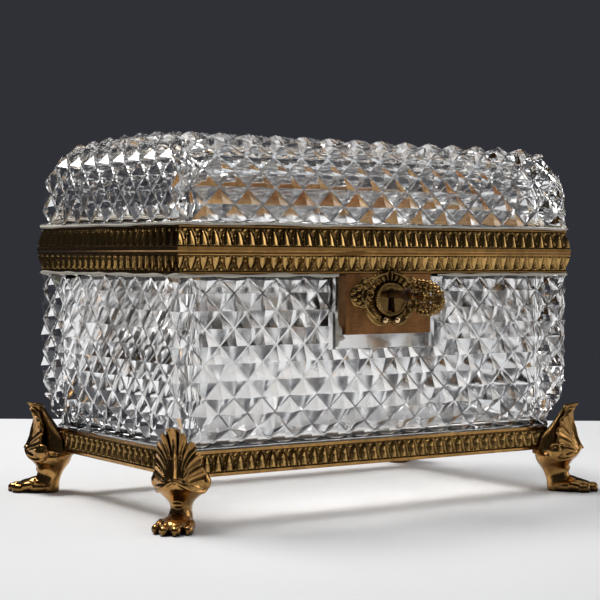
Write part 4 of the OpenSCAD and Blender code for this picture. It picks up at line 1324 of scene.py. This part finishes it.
class CASKET_OT_feet(bpy.types.Operator):
    """Casts the four lion-paw feet"""
    bl_idname = "casket.feet"
    bl_label = "Feet"

    corners = {"foot_front_left": (-1, -1, -1.5), "foot_front_right": (1, -1, 0.0),
               "foot_back_left": (-1, 1, 0.0), "foot_back_right": (1, 1, 0.4)}

    def execute(self, context):
        shape = fuse(foot_bodies(), 0.25, 1)
        for name, (sx, sy, lean) in self.corners.items():
            make_foot(name, shape, sx, sy, lean, bpy.data.materials["gilt casting"])
        return {"FINISHED"}


class CASKET_OT_lock_furniture(bpy.types.Operator):
    """Casts the cartouche and the key's bow"""
    bl_idname = "casket.lock_furniture"
    bl_label = "Cartouche and bow"

    def execute(self, context):
        make_escutcheon(bpy.data.materials["dark casting"])
        make_key_bow(bpy.data.materials["dark casting"])
        return {"FINISHED"}


class CASKET_OT_bedding(bpy.types.Operator):
    """Lays the plaster that squeezes out along the rims"""
    bl_idname = "casket.bedding"
    bl_label = "Bedding"

    def execute(self, context):
        plaster = bpy.data.materials["bedding plaster"]
        bead("bead_body", POINT_IN + 0.15, RIM_BOTTOM - 0.4, 0.5, 0.6, LOCK[1][0] + 3.6, 3, "casket", plaster)
        lock_lump(plaster)
        bead("bead_lid", POINT_IN + 0.15, RIM_TOP + 0.25, 0.45, 0.42, 0, 4, "lid", plaster)
        return {"FINISHED"}


class CASKET_OT_plain_parts(bpy.types.Operator):
    """Gives every carried-over part its finish"""
    bl_idname = "casket.plain_parts"
    bl_label = "Plain parts"

    finishes = {
        "gilt casting": ["body_rim", "lid_rim", "base_frame", "hinge_rivets_body",
                         "hinge_rivets_lid", "staple_screws", "lock_rivets"],
        "gilt lining": ["body_liner", "lid_liner"],
        "dark brass": ["lock_cover", "hinge_leaf_body", "hinge_leaf_lid"],
        "bright pins": ["escutcheon_pins"],
        "lock plate": ["lock_case"],
        "browned steel": ["foot_screws", "lock_cover_screws", "drill_pin", "lock_bolt",
                          "bolt_spring", "key_shank", "hinge_pin", "lid_staple"],
        "bedding plaster": ["body_bedding", "base_bedding", "lid_bedding"],
    }

    def execute(self, context):
        for finish, nodes in self.finishes.items():
            for node in nodes:
                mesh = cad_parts[node].data
                mesh.materials.clear()
                mesh.materials.append(bpy.data.materials[finish])
        return {"FINISHED"}


class CASKET_OT_stage(bpy.types.Operator):
    """Sets the table, the backdrop, the lights and the camera"""
    bl_idname = "casket.stage"
    bl_label = "Stage"

    def execute(self, context):
        make_stage(context.scene.casket_stage)
        return {"FINISHED"}


class CASKET_PT_panel(bpy.types.Panel):
    """Sidebar list of the casket's pieces"""
    bl_label = "Casket"
    bl_idname = "CASKET_PT_panel"
    bl_space_type = "VIEW_3D"
    bl_region_type = "UI"
    bl_category = "Casket"

    def draw(self, context):
        for operator in OPERATORS:
            self.layout.operator(operator.bl_idname)


OPERATORS = (CASKET_OT_materials, CASKET_OT_body_crystal, CASKET_OT_lid_crystal,
             CASKET_OT_mouldings, CASKET_OT_feet, CASKET_OT_lock_furniture, CASKET_OT_bedding,
             CASKET_OT_plain_parts, CASKET_OT_stage)
SETTINGS = {"casket_crystal": CrystalSettings, "casket_moulding": MouldingSettings,
            "casket_finish": FinishSettings, "casket_stage": StageSettings}


def register():
    for cls in (*SETTINGS.values(), *OPERATORS, CASKET_PT_panel):
        bpy.utils.register_class(cls)
    for name, cls in SETTINGS.items():
        setattr(bpy.types.Scene, name, PointerProperty(type=cls))


def unregister():
    for name in SETTINGS:
        delattr(bpy.types.Scene, name)
    for cls in reversed((*SETTINGS.values(), *OPERATORS, CASKET_PT_panel)):
        bpy.utils.unregister_class(cls)


def main():
    """Builds every piece in order."""
    register()
    bpy.ops.casket.materials()
    bpy.ops.casket.body_crystal()
    bpy.ops.casket.lid_crystal()
    bpy.ops.casket.mouldings()
    bpy.ops.casket.feet()
    bpy.ops.casket.lock_furniture()
    bpy.ops.casket.bedding()
    bpy.ops.casket.plain_parts()
    bpy.ops.casket.stage()


if __name__ == "__main__":
    main()
